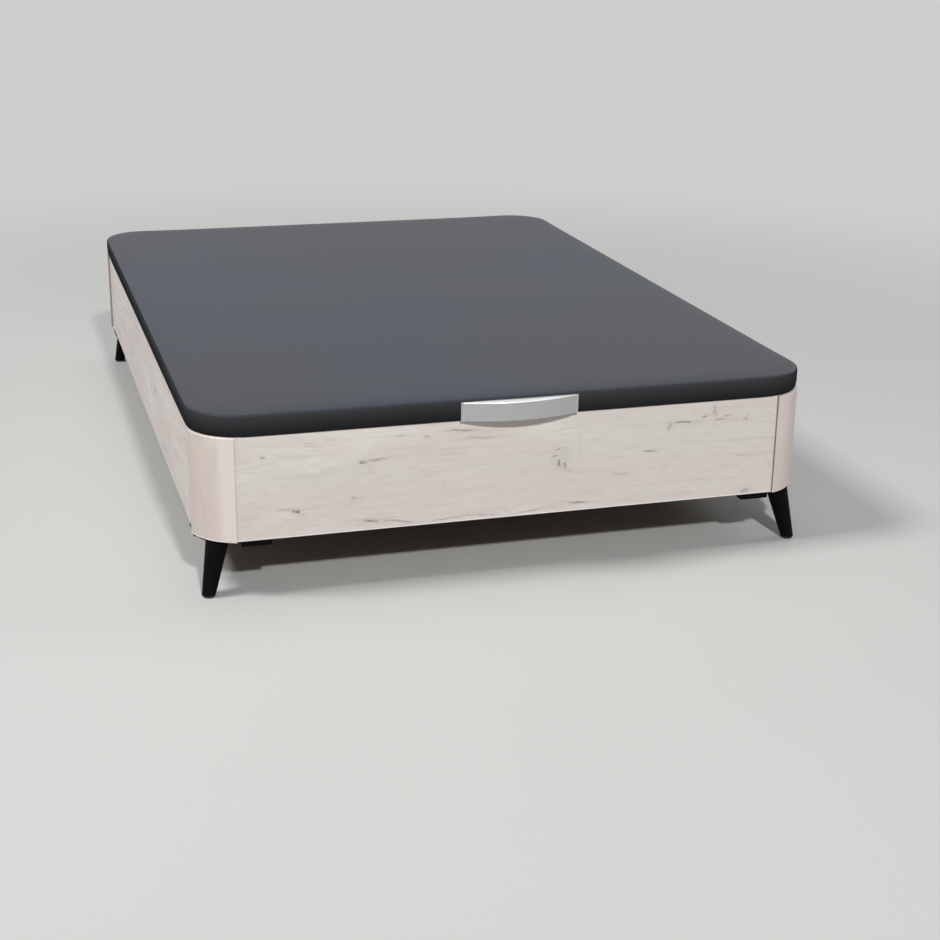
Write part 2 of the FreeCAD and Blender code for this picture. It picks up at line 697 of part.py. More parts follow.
# Lift linkage
def tangent_plate(circles, x0, x1):
    """Flat plate whose outline wraps circles (y, z, r) given anticlockwise, with tangent edges."""
    count = len(circles)
    tangents = []
    for i in range(count):
        y0, z0, r0 = circles[i]
        y1, z1, r1 = circles[(i + 1) % count]
        heading = math.atan2(z1 - z0, y1 - y0)
        lean = math.acos((r0 - r1) / math.hypot(y1 - y0, z1 - z0))
        normal = heading - lean
        c, s = math.cos(normal), math.sin(normal)
        tangents.append(((y0 + r0 * c, z0 + r0 * s), (y1 + r1 * c, z1 + r1 * s), normal))
    edges = []
    for i in range(count):
        leave, arrive, normal = tangents[i]
        edges.append(line(Vector(x0, *leave), Vector(x0, *arrive)))
        y, z, r = circles[(i + 1) % count]
        following, _, turned = tangents[(i + 1) % count]
        while turned < normal:
            turned += 2 * math.pi
        middle = (normal + turned) / 2
        crest = Vector(x0, y + r * math.cos(middle), z + r * math.sin(middle))
        edges.append(arc(Vector(x0, *arrive), crest, Vector(x0, *following)))
    return Part.Face(Part.Wire(edges)).extrude(Vector(x1 - x0, 0, 0))


def rod_x(x0, x1, at, r):
    return Part.makeCylinder(r, abs(x1 - x0), Vector(min(x0, x1), at[0], at[1]), Vector(1, 0, 0))


def pivot_pin(seat_x, arm_near, arm_far, at, radii):
    """Riveted pin: a collar from the plate to the arm, a shank through its eye, a head beyond."""
    shank_r, collar_r, head_r = radii
    way = 1 if arm_far > seat_x else -1
    collar_end = arm_near - way * PIN_END_PLAY
    head_start = arm_far + way * PIN_END_PLAY
    collar = rod_x(seat_x, collar_end, at, collar_r)
    shank = rod_x(seat_x, head_start, at, shank_r)
    head = rod_x(head_start, head_start + way * PIN_HEAD_T, at, head_r)
    return joined([collar, shank, head])


def make_lift():
    plate_in = INNER_X - LIFT_PLATE_T
    bracket_in = TUBE_INNER_X - LID_BRACKET_T
    short_in = TUBE_INNER_X + ARM_SIDE_GAP
    short_out = short_in + SHORT_ARM_T
    long_out = bracket_in - ARM_SIDE_GAP
    long_in = long_out - LONG_ARM_T
    strut_x = short_in - ARM_SIDE_GAP - STRUT_TUBE_R
    eye_in = strut_x - STRUT_EYE_W / 2
    eye_out = strut_x + STRUT_EYE_W / 2
    eye = PIN_R + PIN_CLEARANCE
    strut_eye = STRUT_STUD_R + PIN_CLEARANCE
    base_pins = []
    lid_pins = []
    arm_studs = []
    bolts = []
    screws = []
    for name, side in SIDES.items():
        outline = [A + (LIFT_PLATE_R,), S + (LIFT_PLATE_STRUT_R,), B + (LIFT_PLATE_R,)]
        plate = tangent_plate(outline, side * plate_in, side * INNER_X)
        centre = ((A[0] + B[0] + S[0]) / 3, (A[1] + B[1] + S[1]) / 3)
        plate = plate.cut(rod_x(side * plate_in, side * INNER_X, centre, LIFT_PLATE_HOLE_R))
        places = lift_plate_screw_places(side)
        write("lift_plate_" + name, plate.cut(screw_holes(places)))
        screws += [screw(seat, into) for seat, into in places]

        near, far = side * long_out, side * long_in
        bar = tangent_plate([A + (LONG_ARM_BASE_R,), C + (LONG_ARM_LID_R,)], near, far)
        rib_ends = [along(p, q, LONG_ARM_RIB_IN) + (LONG_ARM_RIB_R,) for p, q in ((A, C), (C, A))]
        rib = tangent_plate(rib_ends, far, far - side * LONG_ARM_RIB_T)
        bar = joined([bar, rib])
        write("long_arm_" + name, bar.cut(group([rod_x(near, far, p, eye) for p in (A, C)])))

        near, far = side * short_out, side * short_in
        crank = B + (SHORT_ARM_BASE_R,)
        lid_bar = tangent_plate([crank, D + (SHORT_ARM_END_R,)], near, far)
        strut_bar = tangent_plate([crank, T + (SHORT_ARM_END_R,)], near, far)
        web_ends = [along(B, end, SHORT_ARM_WEB) + (SHORT_ARM_WEB_R,) for end in (T, D)]
        web = tangent_plate([B + (SHORT_ARM_WEB_R,)] + web_ends, near, far)
        arm = joined([lid_bar, strut_bar, web])
        holes = [rod_x(near, far, B, eye), rod_x(near, far, D, PIN_R + OPEN_PIVOT_CLEARANCE)]
        write("short_arm_" + name, arm.cut(group(holes)))

        top_z = FRAME_BOTTOM + TUBE_H / 2
        front = (INNER_Y - LID_BRACKET_FRONT, top_z, LID_BRACKET_TOP_R)
        rear = (INNER_Y - LID_BRACKET_BACK, top_z, LID_BRACKET_TOP_R)
        outline = [C + (LID_BRACKET_R,), D + (LID_BRACKET_R,), rear, front]
        bracket = tangent_plate(outline, side * bracket_in, side * TUBE_INNER_X)
        into = Vector(side, 0, 0)
        holes = []
        for spot in lid_bolt_places(side):
            seat = spot - into * LID_BRACKET_T
            holes.append(Part.makeCylinder(LID_BOLT_R + SCREW_CLEARANCE, LID_BRACKET_T, seat, into))
            head = hexagon(seat - into * LID_BOLT_HEAD, into, LID_BOLT_FLATS, LID_BOLT_HEAD)
            shank = Part.makeCylinder(LID_BOLT_R, LID_BRACKET_T + LID_BOLT_BITE, seat, into)
            bolts.append(head.fuse(shank))
        write("lid_bracket_" + name, bracket.cut(group(holes)))

        wall = side * plate_in
        base_pins.append(pivot_pin(wall, side * long_out, side * long_in, A, ARM_PIN))
        base_pins.append(pivot_pin(wall, side * short_out, side * short_in, B, ARM_PIN))
        base_pins.append(pivot_pin(wall, side * eye_out, side * eye_in, S, STRUT_STUD))
        lid_pins.append(pivot_pin(side * bracket_in, side * long_out, side * long_in, C, ARM_PIN))
        lid_pins.append(pivot_pin(side * TUBE_INNER_X, side * short_in, side * short_out, D, ARM_PIN))
        arm_studs.append(pivot_pin(side * short_in, side * eye_out, side * eye_in, T, STRUT_STUD))
        make_strut(name, side * strut_x, strut_eye)
    write("lift_plate_screws", group(screws))
    write("base_pivot_pins", group(base_pins))
    write("lid_pivot_pins", group(lid_pins))
    write("strut_arm_studs", group(arm_studs))
    write("lid_bracket_bolts", group(bolts))


def make_strut(name, x, hole_r):
    """Gas strut lying along Y at rest, its tube pinned at the plate and its rod at the short arm."""
    z = STRUT_Z
    way = Vector(0, 1, 0)
    half_eye = STRUT_EYE_W / 2
    mouth = T[0] - STRUT_EYE_REACH
    start = S[0] + STRUT_EYE_REACH - STRUT_CAP
    floor = start + STRUT_CAP
    eye = rod_x(x - half_eye, x + half_eye, S, STRUT_EYE_R)
    neck = Part.makeCylinder(STRUT_NECK_R, start - S[0], Vector(x, S[0], z), way)
    tube = Part.makeCylinder(STRUT_TUBE_R, mouth - start, Vector(x, start, z), way)
    bore_r = STRUT_TUBE_R - STRUT_TUBE_WALL
    cavity = Part.makeCylinder(bore_r, mouth - STRUT_CAP - floor, Vector(x, floor, z), way)
    guide_r = STRUT_ROD_R + STRUT_ROD_CLEARANCE
    guide = Part.makeCylinder(guide_r, 2 * STRUT_CAP, Vector(x, mouth - 3 * STRUT_CAP / 2, z), way)
    body = joined([eye, neck, tube]).cut(cavity).cut(guide)
    write("strut_cylinder_" + name, body.cut(rod_x(x - half_eye, x + half_eye, S, hole_r)))

    far_eye = rod_x(x - half_eye, x + half_eye, T, STRUT_EYE_R)
    rod_end = Vector(x, floor + STRUT_PISTON_REST, z)
    rod = Part.makeCylinder(STRUT_ROD_R, T[0] - rod_end.y, rod_end, way)
    piston = Part.makeCylinder(bore_r - STRUT_ROD_CLEARANCE, STRUT_CAP, rod_end, way)
    shaft = joined([far_eye, rod, piston])
    write("strut_rod_" + name, shaft.cut(rod_x(x - half_eye, x + half_eye, T, hole_r)))


def main():
    os.makedirs("parts", exist_ok=True)
    make_box()
    make_corner_brackets()
    make_legs()
    make_floor()
    make_lid()
    make_handle()
    make_lift()


main()
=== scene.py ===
# %% [markdown]
# A storage bed base: a pale oak-look box on splayed black legs, closed by a dark padded lid that lifts.
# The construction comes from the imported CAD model, which is loaded first and never moved. This lesson
# gives it its looks: a finish for every piece, a sewn cover for the lid, real screws, light and a camera.

# %% Load the frame
import json
import math

import bmesh
import bpy
from mathutils import Matrix, Vector


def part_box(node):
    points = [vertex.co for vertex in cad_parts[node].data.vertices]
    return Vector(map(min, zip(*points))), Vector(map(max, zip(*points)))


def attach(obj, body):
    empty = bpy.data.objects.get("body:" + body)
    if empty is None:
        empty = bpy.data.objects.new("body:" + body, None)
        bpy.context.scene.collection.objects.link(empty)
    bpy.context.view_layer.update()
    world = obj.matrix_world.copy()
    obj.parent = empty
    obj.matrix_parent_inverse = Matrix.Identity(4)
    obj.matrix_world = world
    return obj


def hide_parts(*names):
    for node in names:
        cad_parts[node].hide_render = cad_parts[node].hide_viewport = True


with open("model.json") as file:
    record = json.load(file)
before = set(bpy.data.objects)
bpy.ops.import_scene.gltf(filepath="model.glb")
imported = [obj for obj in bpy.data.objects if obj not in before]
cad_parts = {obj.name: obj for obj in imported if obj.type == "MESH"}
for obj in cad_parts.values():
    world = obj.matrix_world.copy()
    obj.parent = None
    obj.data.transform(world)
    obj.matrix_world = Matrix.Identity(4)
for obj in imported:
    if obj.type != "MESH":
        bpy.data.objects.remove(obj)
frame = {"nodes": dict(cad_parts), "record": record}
nodes = frame["nodes"]
scene = bpy.context.scene
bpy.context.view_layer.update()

# %% [markdown]
# The camera stands where the photographer stood: in front of the foot end, a little to the left, looking
# down at about nineteen degrees. A camera could be aimed with a constraint, but three named angles say
# plainly how it is turned, and the small roll is the tilt of a camera held by hand.

# %% Camera
CAMERA_PLACE = Vector((-1.0629, -4.1069, 1.3871))
CAMERA_AZIMUTH = math.radians(-16.870)
CAMERA_ELEVATION = math.radians(19.252)
CAMERA_ROLL = math.radians(0.786)
CAMERA_LENS = 64.669
CAMERA_SENSOR = 36.0

camera_data = bpy.data.cameras.new("camera")
camera_data.lens = CAMERA_LENS
camera_data.sensor_width = CAMERA_SENSOR
camera = bpy.data.objects.new("camera", camera_data)
scene.collection.objects.link(camera)
bpy.context.scene.camera = camera
heading = Matrix.Rotation(CAMERA_AZIMUTH, 4, "Z")
tip = Matrix.Rotation(math.pi / 2 - CAMERA_ELEVATION, 4, "X")
camera.matrix_world = Matrix.Translation(CAMERA_PLACE) @ heading @ tip @ Matrix.Rotation(CAMERA_ROLL, 4, "Z")
print("camera at", [round(v, 2) for v in camera.location])

# %% [markdown]
# Plain studio light begins with a weak world that fills the shadows. To the camera and in reflections the
# world looks white, so that satin metal and the lid have something bright to mirror. A picture of a room
# could do the same, but it would bring colours of its own.

# %% World
WORLD_LIGHT = 0.06
WORLD_SEEN = 1.0

scene.view_settings.view_transform = "Standard"


def add(tree, kind, inputs=None, **settings):
    """Adds one shader node. A socket given as an input is linked, any other value is typed in."""
    node = tree.nodes.new("ShaderNode" + kind)
    for key, value in settings.items():
        setattr(node, key, value)
    for key, value in (inputs or {}).items():
        if isinstance(value, bpy.types.NodeSocket):
            tree.links.new(value, node.inputs[key])
        else:
            node.inputs[key].default_value = value
    return node


def sums(tree, operation, a, b=0.0):
    return add(tree, "Math", {0: a, 1: b}, operation=operation).outputs[0]


def seen_rays(tree):
    """One for what the camera sees, directly or mirrored, and nought for what only lights something."""
    rays = add(tree, "LightPath").outputs
    seen = sums(tree, "MAXIMUM", rays["Is Camera Ray"], rays["Is Glossy Ray"])
    return sums(tree, "MAXIMUM", seen, rays["Is Transmission Ray"])


def light_world(name):
    world = bpy.data.worlds.new(name)
    scene.world = world
    world.use_nodes = True
    tree = world.node_tree
    tree.nodes.clear()
    level = add(tree, "MapRange", {"Value": seen_rays(tree), "To Min": WORLD_LIGHT, "To Max": WORLD_SEEN})
    sky = add(tree, "Background", {"Color": (1, 1, 1, 1), "Strength": level.outputs[0]})
    add(tree, "OutputWorld", {"Surface": sky.outputs[0]})


light_world("studio")
print("world:", WORLD_LIGHT, "as light,", WORLD_SEEN, "as seen")

# %% [markdown]
# The main lamp stands in front, nearly forty degrees up, so that the box throws its shadow back under
# itself and the handle throws a thin one on the panel. It is small, which keeps both crisp. The left lamp
# hangs high, so that it lights that side but hardly reaches under the box. A wide lamp keeps the right side
# readable, and one overhead evens out the floor. Together they are just strong enough that a colour comes
# out about as it is written.

# %% Lamps
LAMPS = {
    "front_lamp": {"place": (-0.5, -8.2, 6.0), "aim": (0.0, -0.6, 0.2), "size": 0.5, "watts": 655.0},
    "left_lamp": {"place": (-4.6, -0.6, 6.6), "aim": (-0.6, 0.1, 0.2), "size": 2.0, "watts": 480.0},
    "right_lamp": {"place": (6.5, 1.0, 5.2), "aim": (0.6, 0.0, 0.2), "size": 3.0, "watts": 105.0},
    "top_lamp": {"place": (0.4, 3.2, 7.5), "aim": (0.0, 2.4, 0.0), "size": 6.0, "watts": 80.0},
}


def hang_lamp(name, place, aim, size, watts):
    data = bpy.data.lights.new(name, "AREA")
    data.shape = "SQUARE"
    data.size = size
    data.energy = watts
    lamp = bpy.data.objects.new(name, data)
    scene.collection.objects.link(lamp)
    lamp.location = place
    lamp.rotation_euler = (Vector(aim) - Vector(place)).to_track_quat("-Z", "Y").to_euler()


for name, lamp in LAMPS.items():
    hang_lamp(name, **lamp)
print("lamps:", list(LAMPS))

# %% [markdown]
# A finish is a small network of nodes. Most of them start the same way: noise, pulled out long in one
# direction, turned into a soft mask, and used to mix two colours. These helpers keep each network short.
# They all read Object coordinates, so a pattern has its real size in metres on every piece.

# %% Helpers for finishes
# Limits between which most noise lies: close ones give a clear mask, wide ones a gentle change
SOFT_STEP = (0.35, 0.65)
WIDE_STEP = (0.30, 0.70)


def start_finish(name, roughness, metallic=0.0):
    material = bpy.data.materials.new(name)
    material.use_nodes = True
    shader = material.node_tree.nodes["Principled BSDF"]
    shader.inputs["Roughness"].default_value = roughness
    shader.inputs["Metallic"].default_value = metallic
    return material, material.node_tree, shader


def object_place(tree):
    return add(tree, "TexCoord").outputs["Object"]


def noise(tree, place, per_metre, detail=3.0, roughness=0.5, distortion=0.0):
    """Noise with so many waves per metre, the same all round or one number for each axis."""
    waves = per_metre if isinstance(per_metre, tuple) else (per_metre,) * 3
    spread = add(tree, "Mapping", {"Vector": place, "Scale": waves}).outputs[0]
    settings = {"Vector": spread, "Scale": 1.0, "Detail": detail, "Roughness": roughness}
    return add(tree, "TexNoise", {**settings, "Distortion": distortion}).outputs[0]


def ramp(tree, value, start, end, low=0.0, high=1.0):
    """A soft step: low before start, high after end."""
    settings = {"Value": value, "From Min": start, "From Max": end, "To Min": low, "To Max": high}
    return add(tree, "MapRange", settings, interpolation_type="SMOOTHSTEP").outputs[0]


def tint(tree, amount, first, second):
    """Mixes two colours, each a socket or three numbers."""
    mix = add(tree, "Mix", {0: amount}, data_type="RGBA")
    for socket, colour in ((mix.inputs[6], first), (mix.inputs[7], second)):
        if isinstance(colour, bpy.types.NodeSocket):
            tree.links.new(colour, socket)
        else:
            socket.default_value = (*colour, 1.0)
    return mix.outputs[2]


def scaled(colour, share):
    """The same colour, darker or paler."""
    return tuple(c * share for c in colour)


def wire(tree, socket, shader, name):
    tree.links.new(socket, shader.inputs[name])


print("mask steps:", SOFT_STEP, "and", WIDE_STEP)

# %% [markdown]
# The floor is plain and pale, so that nothing competes with the bed. It isn't part of the object. Near the
# bed it is lit like everything else and takes the shadow. Further off the lamps would leave it in the dark,
# so there the camera sees its plain colour instead.

# %% Floor
FLOOR_SIZE = 60.0
FLOOR_COLOUR = (0.45, 0.45, 0.44)
FLOOR_PALER = 1.06
FLOOR_CLOUDS = 0.5
FLOOR_ROUGH = 0.75
FAR_COLOUR = (0.62, 0.62, 0.61)
LIT_REACH = 1.3
PLAIN_REACH = 4.2


def length_of(tree, vector):
    return add(tree, "VectorMath", {0: vector}, operation="LENGTH").outputs["Value"]


def floor_paint(name):
    """Lit paint near the bed that goes over into a plain colour far off, for what the camera sees."""
    material, tree, shader = start_finish(name, FLOOR_ROUGH)
    place = object_place(tree)
    cloud = noise(tree, place, FLOOR_CLOUDS, detail=4.0)
    paint = tint(tree, cloud, FLOOR_COLOUR, scaled(FLOOR_COLOUR, FLOOR_PALER))
    wire(tree, paint, shader, "Base Color")
    away = ramp(tree, length_of(tree, place), LIT_REACH, PLAIN_REACH)
    far = sums(tree, "MULTIPLY", seen_rays(tree), away)
    plain = add(tree, "Emission", {"Color": (*FAR_COLOUR, 1.0)}).outputs[0]
    blend = add(tree, "MixShader", {0: far, 1: shader.outputs[0], 2: plain}).outputs[0]
    tree.links.new(blend, tree.nodes["Material Output"].inputs["Surface"])
    return material


bpy.ops.object.select_all(action="DESELECT")
bpy.ops.mesh.primitive_plane_add(size=FLOOR_SIZE, location=(0, 0, 0))
floor = bpy.context.object
floor.name = "floor"
floor.data.materials.append(floor_paint("plain_floor"))
print("floor:", FLOOR_SIZE, "m")

# %% [markdown]
# The panels are board with a printed oak film: very pale, between pink and grey, with the grain lying
# along each panel, a few small knots and some dark hairline cracks. A photograph of wood could be used,
# but a network has no seams and stays sharp. Knots and cracks are small slanted strokes, placed one by
# one, because on the foot panel they are what the eye knows the panel by. A node group draws one stroke,
# and each panel uses it as often as it has strokes.

# %% One knot or crack as a node group
CORE_STEP = (0.35, 1.0)
HALO_STEP = (0.7, 2.4)
HALO_SHADE = 0.16


def vectors(tree, operation, a, b):
    return add(tree, "VectorMath", {0: a, 1: b}, operation=operation).outputs["Vector"]


def flaw_group(name):
    """Shade of one stroke at a place: a core that slants by Tilt, with a soft halo around it."""
    group = bpy.data.node_groups.new(name, "ShaderNodeTree")
    kinds = {"Place": "Vector", "Centre": "Vector", "Reach": "Vector", "Tilt": "Float", "Depth": "Float"}
    for socket, kind in kinds.items():
        group.interface.new_socket(name=socket, in_out="INPUT", socket_type="NodeSocket" + kind)
    group.interface.new_socket(name="Shade", in_out="OUTPUT", socket_type="NodeSocketFloat")
    given = group.nodes.new("NodeGroupInput").outputs
    result = group.nodes.new("NodeGroupOutput").inputs
    away = vectors(group, "SUBTRACT", given["Place"], given["Centre"])
    apart = add(group, "SeparateXYZ", {0: away}).outputs
    rise = sums(group, "SUBTRACT", apart["Z"], sums(group, "MULTIPLY", apart["X"], given["Tilt"]))
    level = add(group, "CombineXYZ", {"X": apart["X"], "Y": apart["Y"], "Z": rise}).outputs[0]
    distance = length_of(group, vectors(group, "DIVIDE", level, given["Reach"]))
    core = ramp(group, distance, *CORE_STEP, 1.0, 0.0)
    halo = ramp(group, distance, *HALO_STEP, HALO_SHADE, 0.0)
    shade = sums(group, "MULTIPLY", sums(group, "MAXIMUM", core, halo), given["Depth"])
    group.links.new(shade, result["Shade"])
    return group


oak_flaw = flaw_group("oak_flaw")
print("flaw group:", len(oak_flaw.nodes), "nodes")

# %% [markdown]
# Real cracks are ragged, and the fibres break them up. Drawing each of them so would take long, so every
# place is stirred with noise before the strokes look at it, first in wide swings and then in finer ones,
# and a noise along the grain thins their shade.

# %% All strokes of a panel
# Waves per metre of each stir, and how far it shifts a place along, through and up the panel
STIRS = [(30.0, (0.024, 0.0, 0.008)), (140.0, (0.014, 0.0, 0.007)), (500.0, (0.005, 0.0, 0.004))]
STROKE_DEEP = 10.0
FIBRE_WAVES = (130.0, 700.0, 700.0)
FIBRE_STEP = (0.36, 0.56)
FIBRE_GAP = 0.30


def stir(tree, place, per_metre, reach):
    """Shifts a place by noise, by up to about half the reach."""
    settings = {"Vector": place, "Scale": per_metre, "Detail": 3.0, "Roughness": 0.6}
    shift = add(tree, "TexNoise", settings).outputs["Color"]
    shift = vectors(tree, "SUBTRACT", shift, (0.5, 0.5, 0.5))
    return vectors(tree, "ADD", place, vectors(tree, "MULTIPLY", shift, reach))


def flaw_shade(tree, place, flaws):
    """All strokes together, with ragged outlines and broken into fibres."""
    stirred = place
    for per_metre, reach in STIRS:
        stirred = stir(tree, stirred, per_metre, reach)
    total = 0.0
    for along, up, half_length, half_height, tilt, depth in flaws:
        stroke = {"Place": stirred, "Centre": (along, 0.0, up), "Tilt": tilt, "Depth": depth}
        stroke["Reach"] = (half_length, STROKE_DEEP, half_height)
        shade = add(tree, "Group", stroke, node_tree=oak_flaw).outputs["Shade"]
        total = sums(tree, "MAXIMUM", total, shade)
    fibres = noise(tree, place, FIBRE_WAVES, roughness=0.6)
    return sums(tree, "MULTIPLY", total, ramp(tree, fibres, *FIBRE_STEP, FIBRE_GAP, 1.0))


print("stirs:", [per_metre for per_metre, _ in STIRS], "waves per metre")

# %% [markdown]
# Two more marks are drawn in the film. The lower edge is paler, which shows as a bright line. Where a
# panel meets a post there is a fine open joint, and the shade in it is painted as a dark line, darkest on
# the right of the foot end. Both could be thin strips of their own, but in the film they follow the panels
# by themselves.

# %% Pale lower edge and painted joint shade
# Height of the paler strip along the lower edge, and where it starts to fade
PALE_EDGE_HEIGHT = 0.0036
PALE_EDGE_FADE = 0.7
# Width of the painted shade in each joint
JOINT_SHADE_WIDTH = 0.0020


def part_of(tree, place, axis):
    """One coordinate of a place."""
    return add(tree, "SeparateXYZ", {0: place}).outputs[axis]


def pale_lower_edge(tree, place):
    """A paler strip along the lower edge of panels and posts."""
    low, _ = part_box("foot_panel")
    return ramp(tree, part_of(tree, place, "Z"), low.z + PALE_EDGE_HEIGHT * PALE_EDGE_FADE, low.z + PALE_EDGE_HEIGHT, 1.0, 0.0)


def end_joint_shade(tree, place, reach, first, second):
    """Painted shade of the open joints at the two ends of a panel that reaches so far along X from its
    middle.
    """
    along = part_of(tree, place, "X")
    inner, outer = reach - JOINT_SHADE_WIDTH, reach - JOINT_SHADE_WIDTH / 2
    left = ramp(tree, along, -outer, -inner, first, 0.0)
    right = ramp(tree, along, inner, outer, 0.0, second)
    return sums(tree, "MAXIMUM", left, right)


print("banding", PALE_EDGE_HEIGHT * 1000, "mm, joint", JOINT_SHADE_WIDTH * 1000, "mm")

# %% [markdown]
# The film is built up in layers, as its print is: two tints in broad bands, then pale drifts, darker
# mottles, streaks, short dashes and fine pores. Each layer is noise stretched along the grain, and tints
# what lies below it where the noise is high. A table holds the layers, so that one loop lays them all.

# %% The oak film
OAK_PINK = (0.640, 0.560, 0.530)
OAK_GREY = (0.620, 0.580, 0.548)
OAK_PALE = (0.690, 0.655, 0.622)
OAK_STREAK = (0.500, 0.430, 0.395)
OAK_DASH = (0.330, 0.275, 0.245)
OAK_DARK = (0.085, 0.063, 0.053)
# Colour of the paler strip along the lower edge
OAK_PALE_EDGE = (0.860, 0.820, 0.785)
# Dark brown of the painted shade in the open joints
JOINT_SHADE_BROWN = (0.260, 0.205, 0.185)
BAND_STEP = (0.36, 0.64)
# Waves per metre along and across, then detail, roughness and distortion, then mask step, share and colour
OAK_LAYERS = {
    "drift": ((3.0, 11.0), (4.0, 0.60, 0.0), (0.48, 0.68), 0.85, OAK_PALE),
    "mottle": ((13.0, 70.0), (5.0, 0.65, 0.8), (0.48, 0.74), 0.50, OAK_STREAK),
    "streaks": ((4.0, 170.0), (4.0, 0.60, 0.3), (0.54, 0.76), 0.48, OAK_STREAK),
    "dashes": ((22.0, 210.0), (4.0, 0.60, 0.5), (0.62, 0.76), 0.50, OAK_DASH),
    "pores": ((45.0, 800.0), (2.0, 0.50, 0.0), (0.58, 0.76), 0.25, OAK_STREAK),
}
OAK_ROUGH = 0.5
MOTTLE_STEP = (0.3, 0.8)
MOTTLE_ROUGH = (0.46, 0.60)
GRAIN_DEPTH = 0.0002


def turned(tree, place, turn):
    return add(tree, "Mapping", {"Vector": place, "Rotation": turn}).outputs[0]


def raise_grain(tree, shader, height, depth, strength):
    bump = add(tree, "Bump", {"Height": height, "Distance": depth, "Strength": strength})
    wire(tree, bump.outputs[0], shader, "Normal")


def oak_film(name, turn, bands, tints, flaws=(), joints=None):
    """Oak film whose grain runs along X once the place is turned."""
    material, tree, shader = start_finish(name, OAK_ROUGH)
    upright = object_place(tree)
    place = turned(tree, upright, turn)
    along, across = bands
    banding = noise(tree, place, (along, across, across), distortion=0.6)
    colour = tint(tree, ramp(tree, banding, *BAND_STEP), *tints)
    grain = {}
    for layer, ((along, across), settings, step, share, shade) in OAK_LAYERS.items():
        grain[layer] = noise(tree, place, (along, across, across), *settings)
        colour = tint(tree, ramp(tree, grain[layer], *step, 0.0, share), colour, shade)
    if flaws:
        colour = tint(tree, flaw_shade(tree, place, flaws), colour, OAK_DARK)
    # Painted shade in the open joints at the panel's ends
    if joints:
        colour = tint(tree, end_joint_shade(tree, place, *joints), colour, JOINT_SHADE_BROWN)
    # A paler strip along the lower edge
    colour = tint(tree, pale_lower_edge(tree, upright), colour, OAK_PALE_EDGE)
    wire(tree, colour, shader, "Base Color")
    wire(tree, ramp(tree, grain["mottle"], *MOTTLE_STEP, *MOTTLE_ROUGH), shader, "Roughness")
    lines = sums(tree, "ADD", grain["streaks"], grain["pores"])
    raise_grain(tree, shader, lines, GRAIN_DEPTH, strength=0.3)
    return material


print("oak layers:", list(OAK_LAYERS))

# %% [markdown]
# A stroke is given by its place along the panel and above the floor, half its length, half its height, its
# slant and its depth. The foot panel follows the photograph: small knots on the left, cracks along the
# lower edge, a starred knot right of the middle and a forked crack at the upper right.

# %% Strokes of the foot panel
FOOT_FLAWS = [
    (-0.537, 0.296, 0.010, 0.005, 0.0, 0.60),
    (-0.470, 0.175, 0.012, 0.006, -0.30, 0.85),
    (-0.494, 0.181, 0.018, 0.002, -0.05, 0.55),
    (-0.351, 0.194, 0.010, 0.005, 0.0, 0.50),
    (-0.327, 0.268, 0.012, 0.006, 0.0, 0.65),
    (-0.300, 0.272, 0.026, 0.003, 0.05, 0.65),
    (-0.440, 0.312, 0.020, 0.003, 0.0, 0.25),
    (-0.250, 0.319, 0.020, 0.004, 0.0, 0.25),
    (-0.193, 0.313, 0.009, 0.004, 0.0, 0.45),
    (-0.120, 0.320, 0.045, 0.0025, -0.06, 0.65),
    (-0.075, 0.301, 0.055, 0.003, 0.0, 0.35),
    (-0.315, 0.140, 0.024, 0.003, -0.10, 0.80),
    (-0.258, 0.134, 0.050, 0.0025, -0.13, 0.55),
    (-0.145, 0.130, 0.060, 0.0025, 0.06, 0.50),
    (-0.080, 0.131, 0.060, 0.0025, -0.08, 0.45),
    (0.025, 0.129, 0.050, 0.0025, 0.07, 0.45),
    (0.090, 0.262, 0.007, 0.003, 0.50, 0.50),
    (0.105, 0.263, 0.006, 0.003, -0.50, 0.45),
    (0.082, 0.247, 0.008, 0.004, 0.60, 0.50),
    (0.094, 0.232, 0.004, 0.010, 0.0, 0.80),
    (0.107, 0.224, 0.005, 0.010, 0.0, 0.80),
    (0.120, 0.212, 0.006, 0.005, -0.60, 0.45),
    (0.100, 0.238, 0.036, 0.038, 0.0, 0.10),
    (0.139, 0.270, 0.0015, 0.070, 0.0, 0.14),
    (0.138, 0.139, 0.036, 0.0025, -0.09, 0.80),
    (0.233, 0.195, 0.030, 0.004, 0.0, 0.22),
    (0.296, 0.240, 0.022, 0.003, -0.05, 0.60),
    (0.343, 0.292, 0.004, 0.010, 0.50, 0.60),
    (0.373, 0.300, 0.029, 0.003, -0.03, 0.90),
    (0.420, 0.309, 0.012, 0.003, 0.25, 0.65),
    (0.444, 0.320, 0.005, 0.022, 0.0, 0.38),
    (0.455, 0.299, 0.012, 0.003, 0.0, 0.70),
    (0.470, 0.306, 0.010, 0.002, 0.10, 0.55),
    (0.520, 0.296, 0.005, 0.010, 0.0, 0.38),
    (0.521, 0.213, 0.035, 0.003, 0.0, 0.25),
    (0.524, 0.130, 0.016, 0.008, 0.0, 0.50),
]
print("foot panel:", len(FOOT_FLAWS), "strokes")

# %% [markdown]
# The other panels have like strokes in other places, as sheets of one decor have. One list is enough: the
# right-hand panel is the left one's sheet turned end for end, and the head panel is the middle of that.

